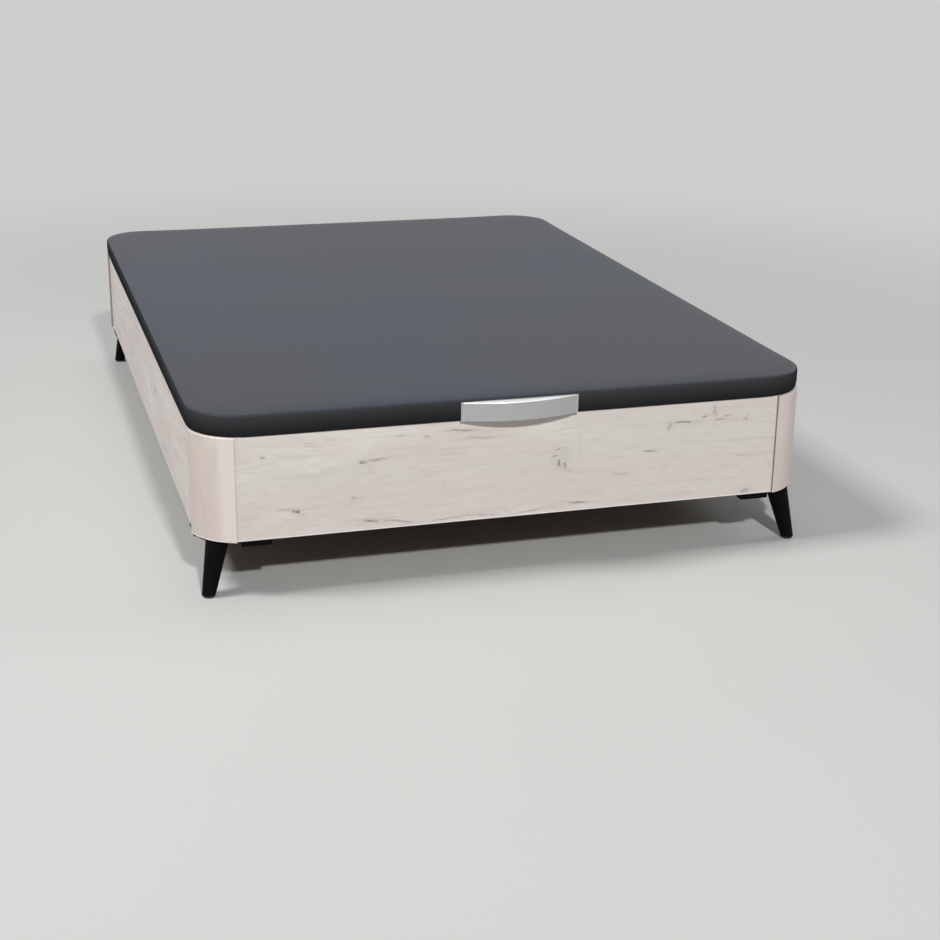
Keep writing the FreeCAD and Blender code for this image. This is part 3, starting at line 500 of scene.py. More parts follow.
# %% Strokes of the other panels
SIDE_FLAWS = [
    (-0.787, 0.296, 0.014, 0.008, 0.10, 0.60),
    (-0.640, 0.205, 0.050, 0.003, 0.04, 0.55),
    (-0.517, 0.322, 0.012, 0.006, 0.0, 0.45),
    (-0.400, 0.150, 0.045, 0.003, -0.06, 0.60),
    (-0.231, 0.242, 0.013, 0.009, 0.20, 0.70),
    (-0.258, 0.246, 0.022, 0.003, 0.0, 0.50),
    (-0.060, 0.160, 0.060, 0.003, 0.05, 0.55),
    (0.130, 0.300, 0.026, 0.004, 0.0, 0.50),
    (0.310, 0.190, 0.012, 0.008, -0.20, 0.70),
    (0.335, 0.196, 0.026, 0.003, 0.05, 0.50),
    (0.480, 0.270, 0.045, 0.003, -0.04, 0.65),
    (0.660, 0.150, 0.030, 0.004, 0.0, 0.50),
    (0.770, 0.260, 0.011, 0.008, 0.0, 0.55),
]
HEAD_PIECE = 0.55


def turned_about(flaws):
    """The same strokes on a sheet that is turned end for end."""
    return [(-along, up, length, height, -tilt, depth) for along, up, length, height, tilt, depth in flaws]


right_flaws = turned_about(SIDE_FLAWS)
head_flaws = [flaw for flaw in right_flaws if abs(flaw[0]) < HEAD_PIECE]
print("other panels:", len(SIDE_FLAWS), "strokes on each side,", len(head_flaws), "at the head")

# %% [markdown]
# The film is glued on with its grain along the panel: along X at the two ends, along Y on the sides. Turning
# the place before the noise is read does that without a UV map. Each panel has its own finish, because it
# has its own strokes, and the painted shade of its joints lies where the posts begin.

# %% Panels
ALONG_X = (0.0, 0.0, 0.0)
ALONG_Y = (0.0, 0.0, -math.pi / 2)
PANEL_BANDS = (0.9, 13.0)
# Strength of the painted shade in the joint at each end of the panel
FOOT_JOINT_SHADE = (0.18, 0.70)
OTHER_JOINT_SHADE = (0.4, 0.4)

post_low, post_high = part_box("corner_post_foot_right")
# Where each joint's painted shade lies, and how dark it is at each end
foot_joint_shade = (post_low.x, *FOOT_JOINT_SHADE)
head_joint_shade = (post_low.x, *OTHER_JOINT_SHADE)
side_joint_shade = (-post_high.y, *OTHER_JOINT_SHADE)


def panel_film(name, turn, flaws, joints):
    return oak_film(name, turn, PANEL_BANDS, (OAK_PINK, OAK_GREY), flaws, joints)


oak_finishes = {
    "foot_panel": panel_film("oak_foot", ALONG_X, FOOT_FLAWS, foot_joint_shade),
    "head_panel": panel_film("oak_head", ALONG_X, head_flaws, head_joint_shade),
    "side_panel_left": panel_film("oak_side_left", ALONG_Y, SIDE_FLAWS, side_joint_shade),
    "side_panel_right": panel_film("oak_side_right", ALONG_Y, right_flaws, side_joint_shade),
}
print("oak panels:", {name: len(m.node_tree.nodes) for name, m in oak_finishes.items()})

# %% [markdown]
# The corner posts are wrapped in the same film, but with the grain upright and in broader bands: warm
# beige wood towards the sides of the bed and paler wood towards its ends. That is why they stand out from
# the panels. The posts on the right come from a rosier sheet. At the ends of a post the colour turns dark
# brown, which shows as a dark line. All of this depends only on where a place lies, so one finish serves
# all four posts.

# %% Posts
ALONG_Z = (0.0, math.pi / 2, 0.0)
POST_BANDS = (0.7, 26.0)
POST_WARM = (0.535, 0.475, 0.410)
POST_PINK = (0.556, 0.478, 0.447)
POST_PALE = (0.680, 0.618, 0.588)
POST_ROSE = (0.605, 0.500, 0.482)
POST_END_BROWN = (0.330, 0.270, 0.245)
RIGHT_STEP = (0.0, 0.1)
ROSE_SHARE = 0.6
PALE_FULL, PALE_ENDS = 0.018, 0.042
PALE_SHARE = 0.75
PALE_ON_RIGHT = 0.3
FILM_END = 0.0004
SIDE_END_SHADE = 0.6


def from_middle(tree, axis):
    """How far a place lies from the middle of the bed along an axis."""
    return sums(tree, "ABSOLUTE", part_of(tree, object_place(tree), axis))


def post_film(name):
    material = oak_film(name, ALONG_Z, POST_BANDS, (POST_WARM, POST_PINK))
    tree = material.node_tree
    shader = tree.nodes["Principled BSDF"]
    film = shader.inputs["Base Color"].links[0].from_socket
    along_x, along_y = from_middle(tree, "X"), from_middle(tree, "Y")
    right_hand = part_of(tree, object_place(tree), "X")
    film = tint(tree, ramp(tree, right_hand, *RIGHT_STEP, 0.0, ROSE_SHARE), film, POST_ROSE)
    pale = ramp(tree, along_x, post_low.x + PALE_FULL, post_low.x + PALE_ENDS, PALE_SHARE, 0.0)
    pale = sums(tree, "MULTIPLY", pale, ramp(tree, right_hand, *RIGHT_STEP, 1.0, PALE_ON_RIGHT))
    colour = tint(tree, pale, film, POST_PALE)
    side_end = ramp(tree, along_y, -post_high.y, FILM_END - post_high.y, SIDE_END_SHADE, 0.0)
    panel_end = ramp(tree, along_x, post_low.x, post_low.x + FILM_END, 1.0, 0.0)
    # The ends of a post turn dark brown
    colour = tint(tree, sums(tree, "MAXIMUM", side_end, panel_end), colour, POST_END_BROWN)
    wire(tree, colour, shader, "Base Color")
    return material


post_oak = post_film("oak_post")
print("post finish:", len(post_oak.node_tree.nodes), "nodes")

# %% [markdown]
# Powder coat and enamel are sprayed on, which leaves a fine orange peel and a slightly uneven gloss. A flat
# colour would look like plastic. One function serves the black legs, the dark lid frame, the grey lift arms
# and brackets, and the gas struts.

# %% Sprayed metals
COAT_CLOUDS = 9.0
COAT_DARKER = 0.86
COAT_DRIFT = 0.05
PEEL_WAVES = 420.0


def sprayed_metal(name, colour, roughness, gloss=0.5, peel=0.00004):
    material, tree, shader = start_finish(name, roughness)
    shader.inputs["Specular IOR Level"].default_value = gloss
    place = object_place(tree)
    cloud = noise(tree, place, COAT_CLOUDS, detail=4.0)
    coat = tint(tree, ramp(tree, cloud, *SOFT_STEP), scaled(colour, COAT_DARKER), colour)
    wire(tree, coat, shader, "Base Color")
    dull = ramp(tree, cloud, *WIDE_STEP, roughness - COAT_DRIFT, roughness + COAT_DRIFT)
    wire(tree, dull, shader, "Roughness")
    raise_grain(tree, shader, noise(tree, place, PEEL_WAVES, detail=2.0), peel, strength=0.6)
    return material


leg_black = sprayed_metal("black_powder_coat", (0.0022, 0.0023, 0.0024), roughness=0.6, gloss=0.05)
frame_grey = sprayed_metal("dark_frame_enamel", (0.045, 0.046, 0.050), roughness=0.5)
lift_grey = sprayed_metal("grey_lift_enamel", (0.30, 0.30, 0.31), roughness=0.45)
bracket_grey = sprayed_metal("bracket_enamel", (0.26, 0.265, 0.275), roughness=0.5)
strut_black = sprayed_metal("strut_gloss_black", (0.012, 0.012, 0.013), roughness=0.22, peel=0.00001)
sprayed = (leg_black, frame_grey, lift_grey, bracket_grey, strut_black)
print("sprayed metals:", [metal.name for metal in sprayed])

# %% [markdown]
# Screws, nuts and pins are zinc plated, and the strut rods are chromed. Both are mirrors that are dulled in
# small patches, so they share one function and differ in colour and roughness.

# %% Plated metals
PLATE_PATCHES = 160.0
PLATE_DULLER = 0.8
PLATE_SMOOTHEST, PLATE_ROUGHEST = 0.8, 1.25


def plated_metal(name, colour, roughness):
    material, tree, shader = start_finish(name, roughness, metallic=1.0)
    patches = noise(tree, object_place(tree), PLATE_PATCHES, detail=5.0, roughness=0.6)
    plate = tint(tree, ramp(tree, patches, *SOFT_STEP), scaled(colour, PLATE_DULLER), colour)
    wire(tree, plate, shader, "Base Color")
    dull = ramp(tree, patches, *WIDE_STEP, roughness * PLATE_SMOOTHEST, roughness * PLATE_ROUGHEST)
    wire(tree, dull, shader, "Roughness")
    return material


zinc = plated_metal("zinc_plate", (0.62, 0.62, 0.63), roughness=0.34)
strut_chrome = plated_metal("strut_chrome", (0.72, 0.72, 0.74), roughness=0.10)
print("plated metals:", [metal.name for metal in (zinc, strut_chrome)])

# %% [markdown]
# The pull handle is satin aluminium, brushed along its length. Brushing is noise stretched far along X: as
# bump it breaks up the mirror, and as roughness it lets some lines catch the light. The cut edge on top has
# a painted highlight, brighter than the bow, where it faces the bright room above.

# %% Satin handle
SATIN_DARK = (0.48, 0.49, 0.49)
SATIN_PALE = (0.57, 0.58, 0.58)
SATIN_ROUGH = 0.36
# Colour of the painted highlight along the top edge, and how far below the top it starts and is full
TOP_HIGHLIGHT_COLOUR = (0.74, 0.75, 0.76)
HIGHLIGHT_STARTS, HIGHLIGHT_FULL = 0.0012, 0.0003
BRUSH_WAVES = (7.0, 1400.0, 1400.0)
BRUSH_ROUGH = (0.30, 0.40)
BRUSH_DEPTH = 0.00003
SMEAR_WAVES = (12.0, 30.0, 30.0)
SMEAR_ROUGH = 0.06


def brushed_aluminium(name):
    material, tree, shader = start_finish(name, SATIN_ROUGH, metallic=1.0)
    place = object_place(tree)
    lines = noise(tree, place, BRUSH_WAVES)
    smears = noise(tree, place, SMEAR_WAVES, detail=2.0)
    colour = tint(tree, ramp(tree, lines, *WIDE_STEP), SATIN_DARK, SATIN_PALE)
    _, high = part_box("pull_handle")
    # Painted highlight: the top edge is made brighter where it faces the bright room above
    top_highlight = ramp(tree, part_of(tree, place, "Z"), high.z - HIGHLIGHT_STARTS, high.z - HIGHLIGHT_FULL)
    wire(tree, tint(tree, top_highlight, colour, TOP_HIGHLIGHT_COLOUR), shader, "Base Color")
    dull = sums(tree, "MULTIPLY", smears, SMEAR_ROUGH)
    wire(tree, sums(tree, "ADD", ramp(tree, lines, *WIDE_STEP, *BRUSH_ROUGH), dull), shader, "Roughness")
    raise_grain(tree, shader, lines, BRUSH_DEPTH, strength=0.5)
    shader.inputs["Anisotropic"].default_value = 0.35
    return material


handle_satin = brushed_aluminium("satin_aluminium")
print("handle finish:", handle_satin.name)

# %% [markdown]
# Inside the box are planed pine cleats, a floor of melamine printed like linen, and the brown hardboard that
# carries the foam. They show when the lid is up and from below. The linen is two noises stretched across
# each other and multiplied, as warp and weft cross.

# %% Timber and boards
PINE_PALE = (0.66, 0.49, 0.30)
PINE_RING = (0.52, 0.34, 0.18)
PINE_FIBRE = (0.40, 0.25, 0.13)
LINEN_DARK = (0.47, 0.43, 0.40)
LINEN_PALE = (0.62, 0.58, 0.54)
# Raw board below, its dark colour chosen so that the shade under the box stays deep
RAW_BROWN_FOR_SHADE = (0.150, 0.100, 0.066)
RAW_FULL, RAW_ENDS = 0.0005, 0.0010
HARDBOARD_DARK = (0.20, 0.125, 0.075)
HARDBOARD_PALE = (0.33, 0.225, 0.145)


def planed_pine(name):
    material, tree, shader = start_finish(name, 0.6)
    place = object_place(tree)
    rings = noise(tree, place, (9.0, 9.0, 95.0), distortion=0.6)
    fibre = noise(tree, place, (60.0, 60.0, 700.0))
    colour = tint(tree, ramp(tree, rings, *SOFT_STEP), PINE_PALE, PINE_RING)
    colour = tint(tree, ramp(tree, fibre, 0.5, 0.8, 0.0, 0.3), colour, PINE_FIBRE)
    wire(tree, colour, shader, "Base Color")
    raise_grain(tree, shader, fibre, GRAIN_DEPTH, strength=0.4)
    return material


def linen_board(name):
    """Printed on top, and raw brown board below, kept dark so that the shade under the box stays deep."""
    material, tree, shader = start_finish(name, 0.55)
    place = object_place(tree)
    warp = noise(tree, place, (30.0, 900.0, 30.0), detail=2.0)
    weft = noise(tree, place, (900.0, 30.0, 30.0), detail=2.0)
    thread = sums(tree, "MULTIPLY", warp, weft)
    colour = tint(tree, ramp(tree, thread, 0.12, 0.40), LINEN_DARK, LINEN_PALE)
    low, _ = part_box("floor_board_foot")
    # Dark raw board below, which also keeps the shade under the box deep
    raw = ramp(tree, part_of(tree, place, "Z"), low.z + RAW_FULL, low.z + RAW_ENDS, 1.0, 0.0)
    wire(tree, tint(tree, raw, colour, RAW_BROWN_FOR_SHADE), shader, "Base Color")
    raise_grain(tree, shader, thread, GRAIN_DEPTH, strength=0.4)
    return material


def pressed_fibre(name, dark, pale):
    material, tree, shader = start_finish(name, 0.7)
    place = object_place(tree)
    fleck = noise(tree, place, 240.0, detail=5.0, roughness=0.7)
    cloud = noise(tree, place, 6.0)
    colour = tint(tree, ramp(tree, fleck, *SOFT_STEP), dark, pale)
    colour = tint(tree, ramp(tree, cloud, 0.4, 0.7, 0.0, 0.35), colour, dark)
    wire(tree, colour, shader, "Base Color")
    raise_grain(tree, shader, fleck, GRAIN_DEPTH, strength=0.35)
    return material


pine = planed_pine("planed_pine")
linen = linen_board("linen_melamine")
hardboard = pressed_fibre("brown_hardboard", HARDBOARD_DARK, HARDBOARD_PALE)
print("boards:", [board.name for board in (pine, linen, hardboard)])

# %% [markdown]
# The glides under the legs and the strip between the floor boards are moulded plastic, with a fine grain
# from the mould. With them every finish is there, and a table says which slot of the record gets which.

# %% Plastics and the table of finishes
GLIDE_BLACK = (0.014, 0.014, 0.014)
STRIP_GREY = (0.58, 0.56, 0.53)
PLASTIC_PALER = 1.15
PLASTIC_DRIFT = 0.06


def moulded_plastic(name, colour, roughness):
    material, tree, shader = start_finish(name, roughness)
    place = object_place(tree)
    grain = noise(tree, place, 700.0, detail=2.0)
    cloud = noise(tree, place, 14.0)
    wire(tree, tint(tree, cloud, colour, scaled(colour, PLASTIC_PALER)), shader, "Base Color")
    dull = ramp(tree, grain, *WIDE_STEP, roughness - PLASTIC_DRIFT, roughness + PLASTIC_DRIFT)
    wire(tree, dull, shader, "Roughness")
    raise_grain(tree, shader, grain, 0.00006, strength=0.5)
    return material


slot_finishes = {
    "oak_post": post_oak,
    "bracket_steel": bracket_grey,
    "zinc_fixing": zinc,
    "leg_black": leg_black,
    "glide_plastic": moulded_plastic("glide_plastic", GLIDE_BLACK, roughness=0.5),
    "cleat_wood": pine,
    "floor_melamine": linen,
    "joint_plastic": moulded_plastic("joint_plastic", STRIP_GREY, roughness=0.45),
    "frame_steel": frame_grey,
    "lift_steel": lift_grey,
    "strut_black": strut_black,
    "strut_chrome": strut_chrome,
    "lid_fibreboard": hardboard,
    "handle_aluminium": handle_satin,
}
print("finishes by slot:", len(slot_finishes))

# %% [markdown]
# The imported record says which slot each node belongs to, so the finishes go on in one loop. The CAD
# meshes stay as they are: only their material changes.

# %% Dress the frame
slot_of = {part["node"]: part["material_slot"] for part in frame["record"]["subparts"]}


def dress(piece, material):
    if not piece.material_slots:
        piece.data.materials.append(material)
    for slot in piece.material_slots:
        slot.material = material


dressed = 0
for name, piece in nodes.items():
    finish = oak_finishes.get(name) or slot_finishes.get(slot_of[name])
    if finish:
        dress(piece, finish)
        dressed += 1
print("dressed:", dressed, "of", len(nodes))

# %% [markdown]
# The lid is a tight cloth cover over foam. Its outline starts as a plane with rounded corners, and the
# straight sides are divided evenly, so that the cloth can swell between its points later. A remeshed block
# would be quicker, but it would blur the corners.

# %% Cover outline
COVER_CORNER = 0.115
COVER_DRAW_IN = 0.003
CORNER_SEGMENTS = 12
STRAIGHT_STEP = 0.030

lid_low, lid_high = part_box("lid_cover")
plan_x = lid_high.x - lid_low.x
plan_y = lid_high.y - lid_low.y
straight_x = plan_x - 2 * COVER_CORNER
straight_y = plan_y - 2 * COVER_CORNER


def start_plane(name, size_x, size_y, z):
    bpy.ops.object.select_all(action="DESELECT")
    bpy.ops.mesh.primitive_plane_add(size=1, location=(0, 0, 0))
    piece = bpy.context.object
    piece.name = name
    bpy.ops.object.mode_set(mode="EDIT")
    bpy.ops.mesh.select_all(action="SELECT")
    bpy.ops.transform.resize(value=(size_x, size_y, 1), center_override=(0, 0, 0))
    bpy.ops.transform.translate(value=(0, 0, z))
    return piece


def pick(piece, kind, test):
    """In edit mode, selects only the edges or the faces that pass a test."""
    bpy.ops.mesh.select_mode(type=kind)
    bpy.ops.mesh.select_all(action="DESELECT")
    mesh = bmesh.from_edit_mesh(piece.data)
    for part in mesh.edges if kind == "EDGE" else mesh.faces:
        if test(part):
            part.select = True
    mesh.select_flush_mode()
    bmesh.update_edit_mesh(piece.data)


cover = start_plane("padded_cover", plan_x - 2 * COVER_DRAW_IN, plan_y - 2 * COVER_DRAW_IN, lid_low.z)
bpy.ops.mesh.bevel(offset=COVER_CORNER - COVER_DRAW_IN, segments=CORNER_SEGMENTS, affect="VERTICES")
bpy.ops.mesh.select_mode(type="EDGE")
bpy.ops.mesh.delete(type="ONLY_FACE")
for length in (straight_x, straight_y):
    pick(cover, "EDGE", lambda edge: abs(edge.calc_length() - length) < STRAIGHT_STEP / 2)
    bpy.ops.mesh.subdivide(number_cuts=round(length / STRAIGHT_STEP) - 1)
bpy.ops.mesh.select_all(action="SELECT")
bpy.ops.mesh.edge_face_add()
bpy.ops.mesh.flip_normals()
print("cover outline:", len(bmesh.from_edit_mesh(cover.data).verts), "points")

# %% [markdown]
# The face is pushed up ring by ring for the sides, which are drawn in at the bottom where the cloth goes
# under the frame. Then it is inset in small steps: around a quarter circle for the rolled edge, and a
# little upwards for the crown. Concentric rings like these follow the corners and keep them clean.

# %% Cover sides, rolled edge and crown
# Height above the lower edge, then how far the side stands in from the plan
SIDE_RINGS = [(0.003, 0.0019), (0.008, 0.0009), (0.014, 0.0003), (0.021, 0.0), (0.028, 0.0)]
COVER_ROLL = 0.007
ROLL_SEGMENTS = 4
# Steps inwards and upwards
CROWN_RINGS = [(0.013, 0.0005), (0.015, 0.0005), (0.020, 0.0005)]
CROWN_RISE = sum(rise for _, rise in CROWN_RINGS)


def draw_in(before, after):
    """Resizes the selected ring, so that it stands in from the plan by another amount than before."""
    change = [(size - 2 * after) / (size - 2 * before) for size in (plan_x, plan_y)]
    bpy.ops.transform.resize(value=(*change, 1), center_override=(0, 0, lid_low.z))


roll_start = lid_high.z - CROWN_RISE - COVER_ROLL - lid_low.z
height, inset = 0.0, COVER_DRAW_IN
for ring_height, ring_inset in [*SIDE_RINGS, (roll_start, 0.0)]:
    bpy.ops.mesh.extrude_region_move(TRANSFORM_OT_translate={"value": (0, 0, ring_height - height)})
    draw_in(inset, ring_inset)
    height, inset = ring_height, ring_inset
angles = [math.pi / 2 * i / ROLL_SEGMENTS for i in range(ROLL_SEGMENTS + 1)]
for a, b in zip(angles, angles[1:]):
    step_in = COVER_ROLL * (math.cos(a) - math.cos(b))
    step_up = COVER_ROLL * (math.sin(b) - math.sin(a))
    bpy.ops.mesh.inset(thickness=step_in, depth=step_up)
for step_in, step_up in CROWN_RINGS:
    bpy.ops.mesh.inset(thickness=step_in, depth=step_up)
print("cover rings:", len(SIDE_RINGS) + 1, "on the side,", ROLL_SEGMENTS + len(CROWN_RINGS), "on the edge")

# %% [markdown]
# One big face in the middle couldn't bend with the cloth, so a grid takes its place, with as many rows as
# the ring around it has points. Then the lower edge is pushed inwards twice, which folds the cloth under
# the frame, where it is tacked.

# %% Close the middle and fold the lower edge under
COVER_FLANGE = 0.020
FOLD_SHARES = (0.3, 1.0)
SAME_HEIGHT = 1e-5

bpy.ops.mesh.delete(type="ONLY_FACE")
crown_z = max(v.co.z for v in bmesh.from_edit_mesh(cover.data).verts)


def open_at(edge, z):
    """Whether an edge lies on the rim of an opening at a height."""
    return len(edge.link_faces) == 1 and all(abs(v.co.z - z) < SAME_HEIGHT for v in edge.verts)


pick(cover, "EDGE", lambda edge: open_at(edge, crown_z))
cover_mesh = bmesh.from_edit_mesh(cover.data)
grid_corner = max((v for v in cover_mesh.verts if v.select), key=lambda v: v.co.x + v.co.y)
cover_mesh.select_history.clear()
cover_mesh.select_history.add(grid_corner)
bpy.ops.mesh.fill_grid(span=round(straight_y / STRAIGHT_STEP) + CORNER_SEGMENTS, offset=0)
pick(cover, "FACE", lambda face: len(face.verts) > 4)
bpy.ops.mesh.delete(type="ONLY_FACE")
pick(cover, "EDGE", lambda edge: open_at(edge, lid_low.z))
inset = COVER_DRAW_IN
for share in FOLD_SHARES:
    bpy.ops.mesh.extrude_region_move()
    folded = COVER_DRAW_IN + COVER_FLANGE * share
    draw_in(inset, folded)
    inset = folded
bpy.ops.mesh.select_all(action="SELECT")
bpy.ops.mesh.normals_make_consistent(inside=False)
print("cover:", len(bmesh.from_edit_mesh(cover.data).faces), "faces, top at", round(crown_z, 4))

# %% [markdown]
# The top and the border around the sides get cloth with two finishes, so the cover has two material slots.
# The border faces are picked by their direction now, while the rings are still exact: the line between the
# two then follows one ring all the way round, and the steps below keep it.

# %% Mark the border
BORDER_UPRIGHT = 0.72
BORDER_SLOT = 1

for _ in ("top", "border"):
    cover.data.materials.append(None)
cover.active_material_index = BORDER_SLOT
pick(cover, "FACE", lambda face: math.hypot(face.normal.x, face.normal.y) > BORDER_UPRIGHT)
bpy.ops.object.material_slot_assign()
bpy.ops.object.mode_set(mode="OBJECT")
print("border faces:", sum(1 for face in cover.data.polygons if face.material_index == BORDER_SLOT))

# %% [markdown]
# Foam pushes the cloth out between the places where it is held: under the frame, and on the flat top,
# where it is glued to the foam. Blender's Cloth with a little pressure does just that, with those two
# places pinned. The swelling is capped at little more than a millimetre and then kept as the mesh.

# %% Let the foam fill the cover
PUFF_FRAMES = 20
PUFF_CAP = 0.0012
PUFF_CLOTH = {
    "quality": 6,
    "mass": 0.3,
    "tension_stiffness": 40.0,
    "compression_stiffness": 40.0,
    "bending_stiffness": 4.0,
    "use_pressure": True,
    "uniform_pressure_force": 3.0,
    "vertex_group_mass": "held",
}
TACKED_UP = 0.001
GLUED_IN = 0.016


def held_points(piece):
    """Points that are tacked under the frame, or glued to the foam away from the edge."""
    points = [(v.index, v.co) for v in piece.data.vertices]
    tacked = [index for index, at in points if at.z < lid_low.z + TACKED_UP]
    top = [(index, at) for index, at in points if at.z > crown_z - CROWN_RISE]
    reach_x = plan_x / 2 - GLUED_IN
    reach_y = plan_y / 2 - GLUED_IN
    return tacked + [index for index, at in top if abs(at.x) < reach_x and abs(at.y) < reach_y]


def puff(piece):
    """Lets the cloth swell, and returns how far it went before the cap."""
    piece.vertex_groups.new(name="held").add(held_points(piece), 1.0, "REPLACE")
    cloth = piece.modifiers.new("foam_push", "CLOTH")
    for key, value in PUFF_CLOTH.items():
        setattr(cloth.settings, key, value)
    cloth.settings.effector_weights.gravity = 0.0
    for step in range(1, PUFF_FRAMES + 1):
        scene.frame_set(step)
    pushed = piece.evaluated_get(bpy.context.evaluated_depsgraph_get()).data
    moves = [after.co - before.co for after, before in zip(pushed.vertices, piece.data.vertices)]
    piece.modifiers.remove(cloth)
    for vertex, move in zip(piece.data.vertices, moves):
        vertex.co += move * (PUFF_CAP / max(move.length, PUFF_CAP))
    scene.frame_set(1)
    return max(move.length for move in moves)


print("cover swelled by up to", round(puff(cover) * 1000, 2), "mm before the cap of", PUFF_CAP * 1000, "mm")

# %% [markdown]
# One subdivision rounds what the rings left angular, and Solidify gives the cloth its thickness inwards,
# towards the frame, so that the outside stays where it is.

# %% Finish the cover
CLOTH_THICK = 0.0012


def apply_modifier(piece, name, kind, **settings):
    bpy.ops.object.select_all(action="DESELECT")
    piece.select_set(True)
    bpy.context.view_layer.objects.active = piece
    modifier = piece.modifiers.new(name, kind)
    for key, value in settings.items():
        setattr(modifier, key, value)
    bpy.ops.object.modifier_apply(modifier=name)


apply_modifier(cover, "round_over", "SUBSURF", levels=1, render_levels=1)
apply_modifier(cover, "cloth_thickness", "SOLIDIFY", thickness=CLOTH_THICK, offset=-1.0)
bpy.ops.object.shade_smooth()
print("cover:", sum(len(p.vertices) - 2 for p in cover.data.polygons), "triangles")

# %% [markdown]
# The cloth is a smooth dark knit. On top it is calendered, so that seen along its surface it mirrors the
# bright room and turns a bluish mid grey, and part of that blue is a painted reflection in its colour. The
# border around the sides is the same cloth with its matt side out, and is nearly black from everywhere;
# painted light makes it paler towards its upper edge. Small soft cells stand for the knit, and slow clouds
# of blue and brown keep the large top from looking like plastic.

# %% Lid cloth
# The bluish top colour is partly a painted reflection of the bright room; the border's pale colour is
# painted light
TOP_REFLECTION_BLUE = (0.0125, 0.0160, 0.0255)
TOP_BROWN = (0.0145, 0.0156, 0.0210)
BORDER_DARK = (0.0165, 0.0167, 0.0178)
BORDER_LIT_PALE = (0.0430, 0.0440, 0.0470)
CLOTH_CLOUDS = 1.6
CLOUD_STEP = (0.4, 0.6)
KNIT_PER_METRE = 290.0
KNIT_UNEVEN = 0.45
KNIT_STEP = (0.2, 0.7)
KNIT_SHARE = 0.25
KNIT_DARKER = 0.7
KNIT_DEPTH = 0.0001
HAIRS_PER_METRE = 900.0
HAIR_SHARE = 0.3
HAIR_DRIFT = 0.05
MIRROR_TINT = (0.82, 0.91, 1.0, 1.0)
SHEEN_TINT = (0.66, 0.80, 1.0, 1.0)
SHEEN_ROUGH = 0.35


def lid_cloth(name, colours, gloss, roughness, sheen, lit_from_above=0.0):
    """Cloth in two colours that change in slow clouds, or with height, where painted light makes the upper
    edge paler.
    """
    material, tree, shader = start_finish(name, roughness)
    place = object_place(tree)
    cloud = noise(tree, place, CLOTH_CLOUDS)
    knit = {"Vector": place, "Scale": KNIT_PER_METRE, "Randomness": KNIT_UNEVEN}
    cells = add(tree, "TexVoronoi", knit).outputs["Distance"]
    hairs = noise(tree, place, HAIRS_PER_METRE, detail=2.0)
    # Painted light: the border turns paler towards its upper edge, as if lit from above
    upper = ramp(tree, part_of(tree, place, "Z"), lid_low.z, lid_high.z, 0.0, lit_from_above)
    patch = ramp(tree, cloud, *CLOUD_STEP, 0.0, 1.0 - lit_from_above)
    colour = tint(tree, sums(tree, "ADD", patch, upper), *colours)
    hollow = ramp(tree, cells, *KNIT_STEP, 0.0, KNIT_SHARE)
    wire(tree, tint(tree, hollow, colour, scaled(colours[0], KNIT_DARKER)), shader, "Base Color")
    dull = ramp(tree, hairs, *WIDE_STEP, roughness - HAIR_DRIFT, roughness + HAIR_DRIFT)
    wire(tree, dull, shader, "Roughness")
    relief = sums(tree, "ADD", cells, sums(tree, "MULTIPLY", hairs, HAIR_SHARE))
    raise_grain(tree, shader, relief, KNIT_DEPTH, strength=0.3)
    shader.inputs["Specular IOR Level"].default_value = gloss
    shader.inputs["Specular Tint"].default_value = MIRROR_TINT
    shader.inputs["Sheen Weight"].default_value = sheen
    shader.inputs["Sheen Roughness"].default_value = SHEEN_ROUGH
    shader.inputs["Sheen Tint"].default_value = SHEEN_TINT
    return material


cloths = [
    lid_cloth("lid_cloth", (TOP_REFLECTION_BLUE, TOP_BROWN), gloss=0.26, roughness=0.5, sheen=0.02),
    lid_cloth("lid_border", (BORDER_DARK, BORDER_LIT_PALE), gloss=0.0, roughness=0.75, sheen=0.0, lit_from_above=0.9),
]
for slot, cloth in zip(cover.material_slots, cloths):
    slot.material = cloth
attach(cover, "lid")
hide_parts("lid_cover", "lid_foam")
print("lid cloth on", cover.name)

# %% [markdown]
# Brackets, plates, hangers and the handle are held by pan-head screws with a cross recess. In the CAD
# model each is a plain stepped pin. Walking from point to point over a merged copy of such a node's mesh
# finds them: each connected island is one pin. Its longest side is its axis, and the end with the wider
# points is the head. The places could be typed in, but then they wouldn't follow the model.

# %% Find the pins
# Nodes of pins, and the body that each rides on
SCREW_NODES = {
    "corner_bracket_screws": "base",
    "leg_plate_screws": "base",
    "crossbar_hanger_screws": "base",
    "lift_plate_screws": "base",
    "handle_screws": "lid",
}
SAME_POINT = 1e-6


def islands(node):
    """The points of each connected part of a node's mesh."""
    mesh = bmesh.new()
    mesh.from_mesh(node.data)
    bmesh.ops.remove_doubles(mesh, verts=mesh.verts, dist=SAME_POINT)
    seen = set()
    for start in mesh.verts:
        if start in seen:
            continue
        seen.add(start)
        queue = [start]
        island = []
        while queue:
            vertex = queue.pop()
            island.append(vertex.co.copy())
            others = {edge.other_vert(vertex) for edge in vertex.link_edges} - seen
            seen |= others
            queue.extend(others)
        yield island
    mesh.free()


def pin_place(island):
    """Head top, direction from head to point, and length of a pin that lies along an axis."""
    low = Vector([min(p[i] for p in island) for i in range(3)])
    high = Vector([max(p[i] for p in island) for i in range(3)])
    axis = max(range(3), key=lambda i: high[i] - low[i])
    middle = (low + high) / 2
    widest = max(island, key=lambda p: sum((p[i] - middle[i]) ** 2 for i in range(3) if i != axis))
    head = middle.copy()
    head[axis] = high[axis] if widest[axis] > middle[axis] else low[axis]
    return head, (middle - head).normalized(), high[axis] - low[axis]


pins = {name: [pin_place(island) for island in islands(nodes[name])] for name in SCREW_NODES}
print("pins:", {name: len(places) for name, places in pins.items()})

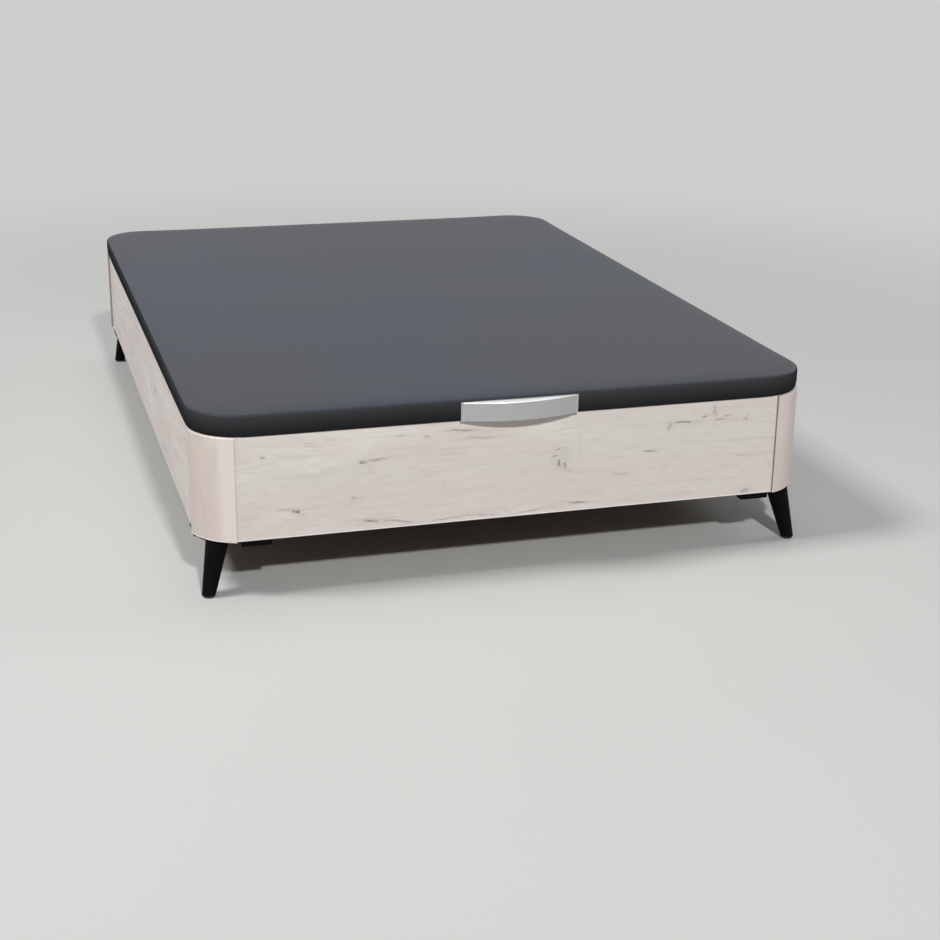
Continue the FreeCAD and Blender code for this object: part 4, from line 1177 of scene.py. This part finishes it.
# %% [markdown]
# One good screw is modelled for each length. It starts from a cylinder for the head: the rim is bevelled
# into a dome, the shank and its point are pushed out of the underside, and two thin blocks cut the recess.
# A thread is left out, because it is hidden in the board.

# %% One screw
HEAD_R = 0.0040
HEAD_HEIGHT = 0.0022
HEAD_SIDES = 24
DOME_SHARE = 0.6
DOME_SEGMENTS = 4
SHANK_R = 0.0020
POINT_LENGTH = 0.005
POINT_TIP = 0.15
RECESS_LENGTH = 0.0042
RECESS_WIDTH = 0.0009
RECESS_DEPTH = 0.0013
FACES_DOWN = -0.9
SHARP_EDGE = math.radians(35)


def cut_recess(screw):
    for length_x, length_y in ((RECESS_LENGTH, RECESS_WIDTH), (RECESS_WIDTH, RECESS_LENGTH)):
        bpy.ops.object.select_all(action="DESELECT")
        bpy.ops.mesh.primitive_cube_add(size=1, location=(0, 0, 0))
        cutter = bpy.context.object
        cutter.scale = (length_x, length_y, 2 * RECESS_DEPTH)
        bpy.ops.object.transform_apply(location=False, rotation=False, scale=True)
        apply_modifier(screw, "recess", "BOOLEAN", operation="DIFFERENCE", object=cutter)
        bpy.data.objects.remove(cutter, do_unlink=True)


def model_screw(name, length):
    """A screw that points down, with the top of its head at the origin."""
    bpy.ops.object.select_all(action="DESELECT")
    bpy.ops.mesh.primitive_cylinder_add(vertices=HEAD_SIDES, radius=HEAD_R, depth=HEAD_HEIGHT,
                                        location=(0, 0, -HEAD_HEIGHT / 2))
    screw = bpy.context.object
    screw.name = name
    bpy.ops.object.transform_apply(location=True, rotation=False, scale=False)
    bpy.ops.object.mode_set(mode="EDIT")
    pick(screw, "EDGE", lambda edge: all(v.co.z > -HEAD_HEIGHT / 2 for v in edge.verts))
    bpy.ops.mesh.bevel(offset=HEAD_HEIGHT * DOME_SHARE, segments=DOME_SEGMENTS, profile=0.5)
    pick(screw, "FACE", lambda face: face.normal.z < FACES_DOWN)
    bpy.ops.mesh.inset(thickness=HEAD_R - SHANK_R)
    for step in (length - HEAD_HEIGHT - POINT_LENGTH, POINT_LENGTH):
        bpy.ops.mesh.extrude_region_move(TRANSFORM_OT_translate={"value": (0, 0, -step)})
    bpy.ops.transform.resize(value=(POINT_TIP, POINT_TIP, 1), center_override=(0, 0, -length))
    bpy.ops.object.mode_set(mode="OBJECT")
    cut_recess(screw)
    bpy.ops.object.shade_smooth_by_angle(angle=SHARP_EDGE)
    return screw


print("screw head:", HEAD_R * 2000, "mm wide,", HEAD_HEIGHT * 1000, "mm high")

# %% [markdown]
# Now each pin gets its screw: a copy of the model with a mesh of its own, turned from pointing down to the
# pin's direction and moved to its head. The screws of one node are joined, because together they replace
# that node.

# %% Drive the screws
DOWN = Vector((0, 0, -1))


def drive_screws(node_name, body):
    model = model_screw("screw", pins[node_name][0][2])
    copies = []
    for head, direction, _ in pins[node_name]:
        copy = bpy.data.objects.new("screw_copy", model.data.copy())
        scene.collection.objects.link(copy)
        turn = DOWN.rotation_difference(direction).to_matrix().to_4x4()
        copy.data.transform(Matrix.Translation(head) @ turn)
        copies.append(copy)
    bpy.data.objects.remove(model, do_unlink=True)
    bpy.ops.object.select_all(action="DESELECT")
    for copy in copies:
        copy.select_set(True)
    screws = copies[0]
    bpy.context.view_layer.objects.active = screws
    bpy.ops.object.join()
    screws.name = "cross_" + node_name
    dress(screws, zinc)
    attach(screws, body)
    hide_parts(node_name)
    return screws.name


print("screws:", [drive_screws(name, body) for name, body in SCREW_NODES.items()])
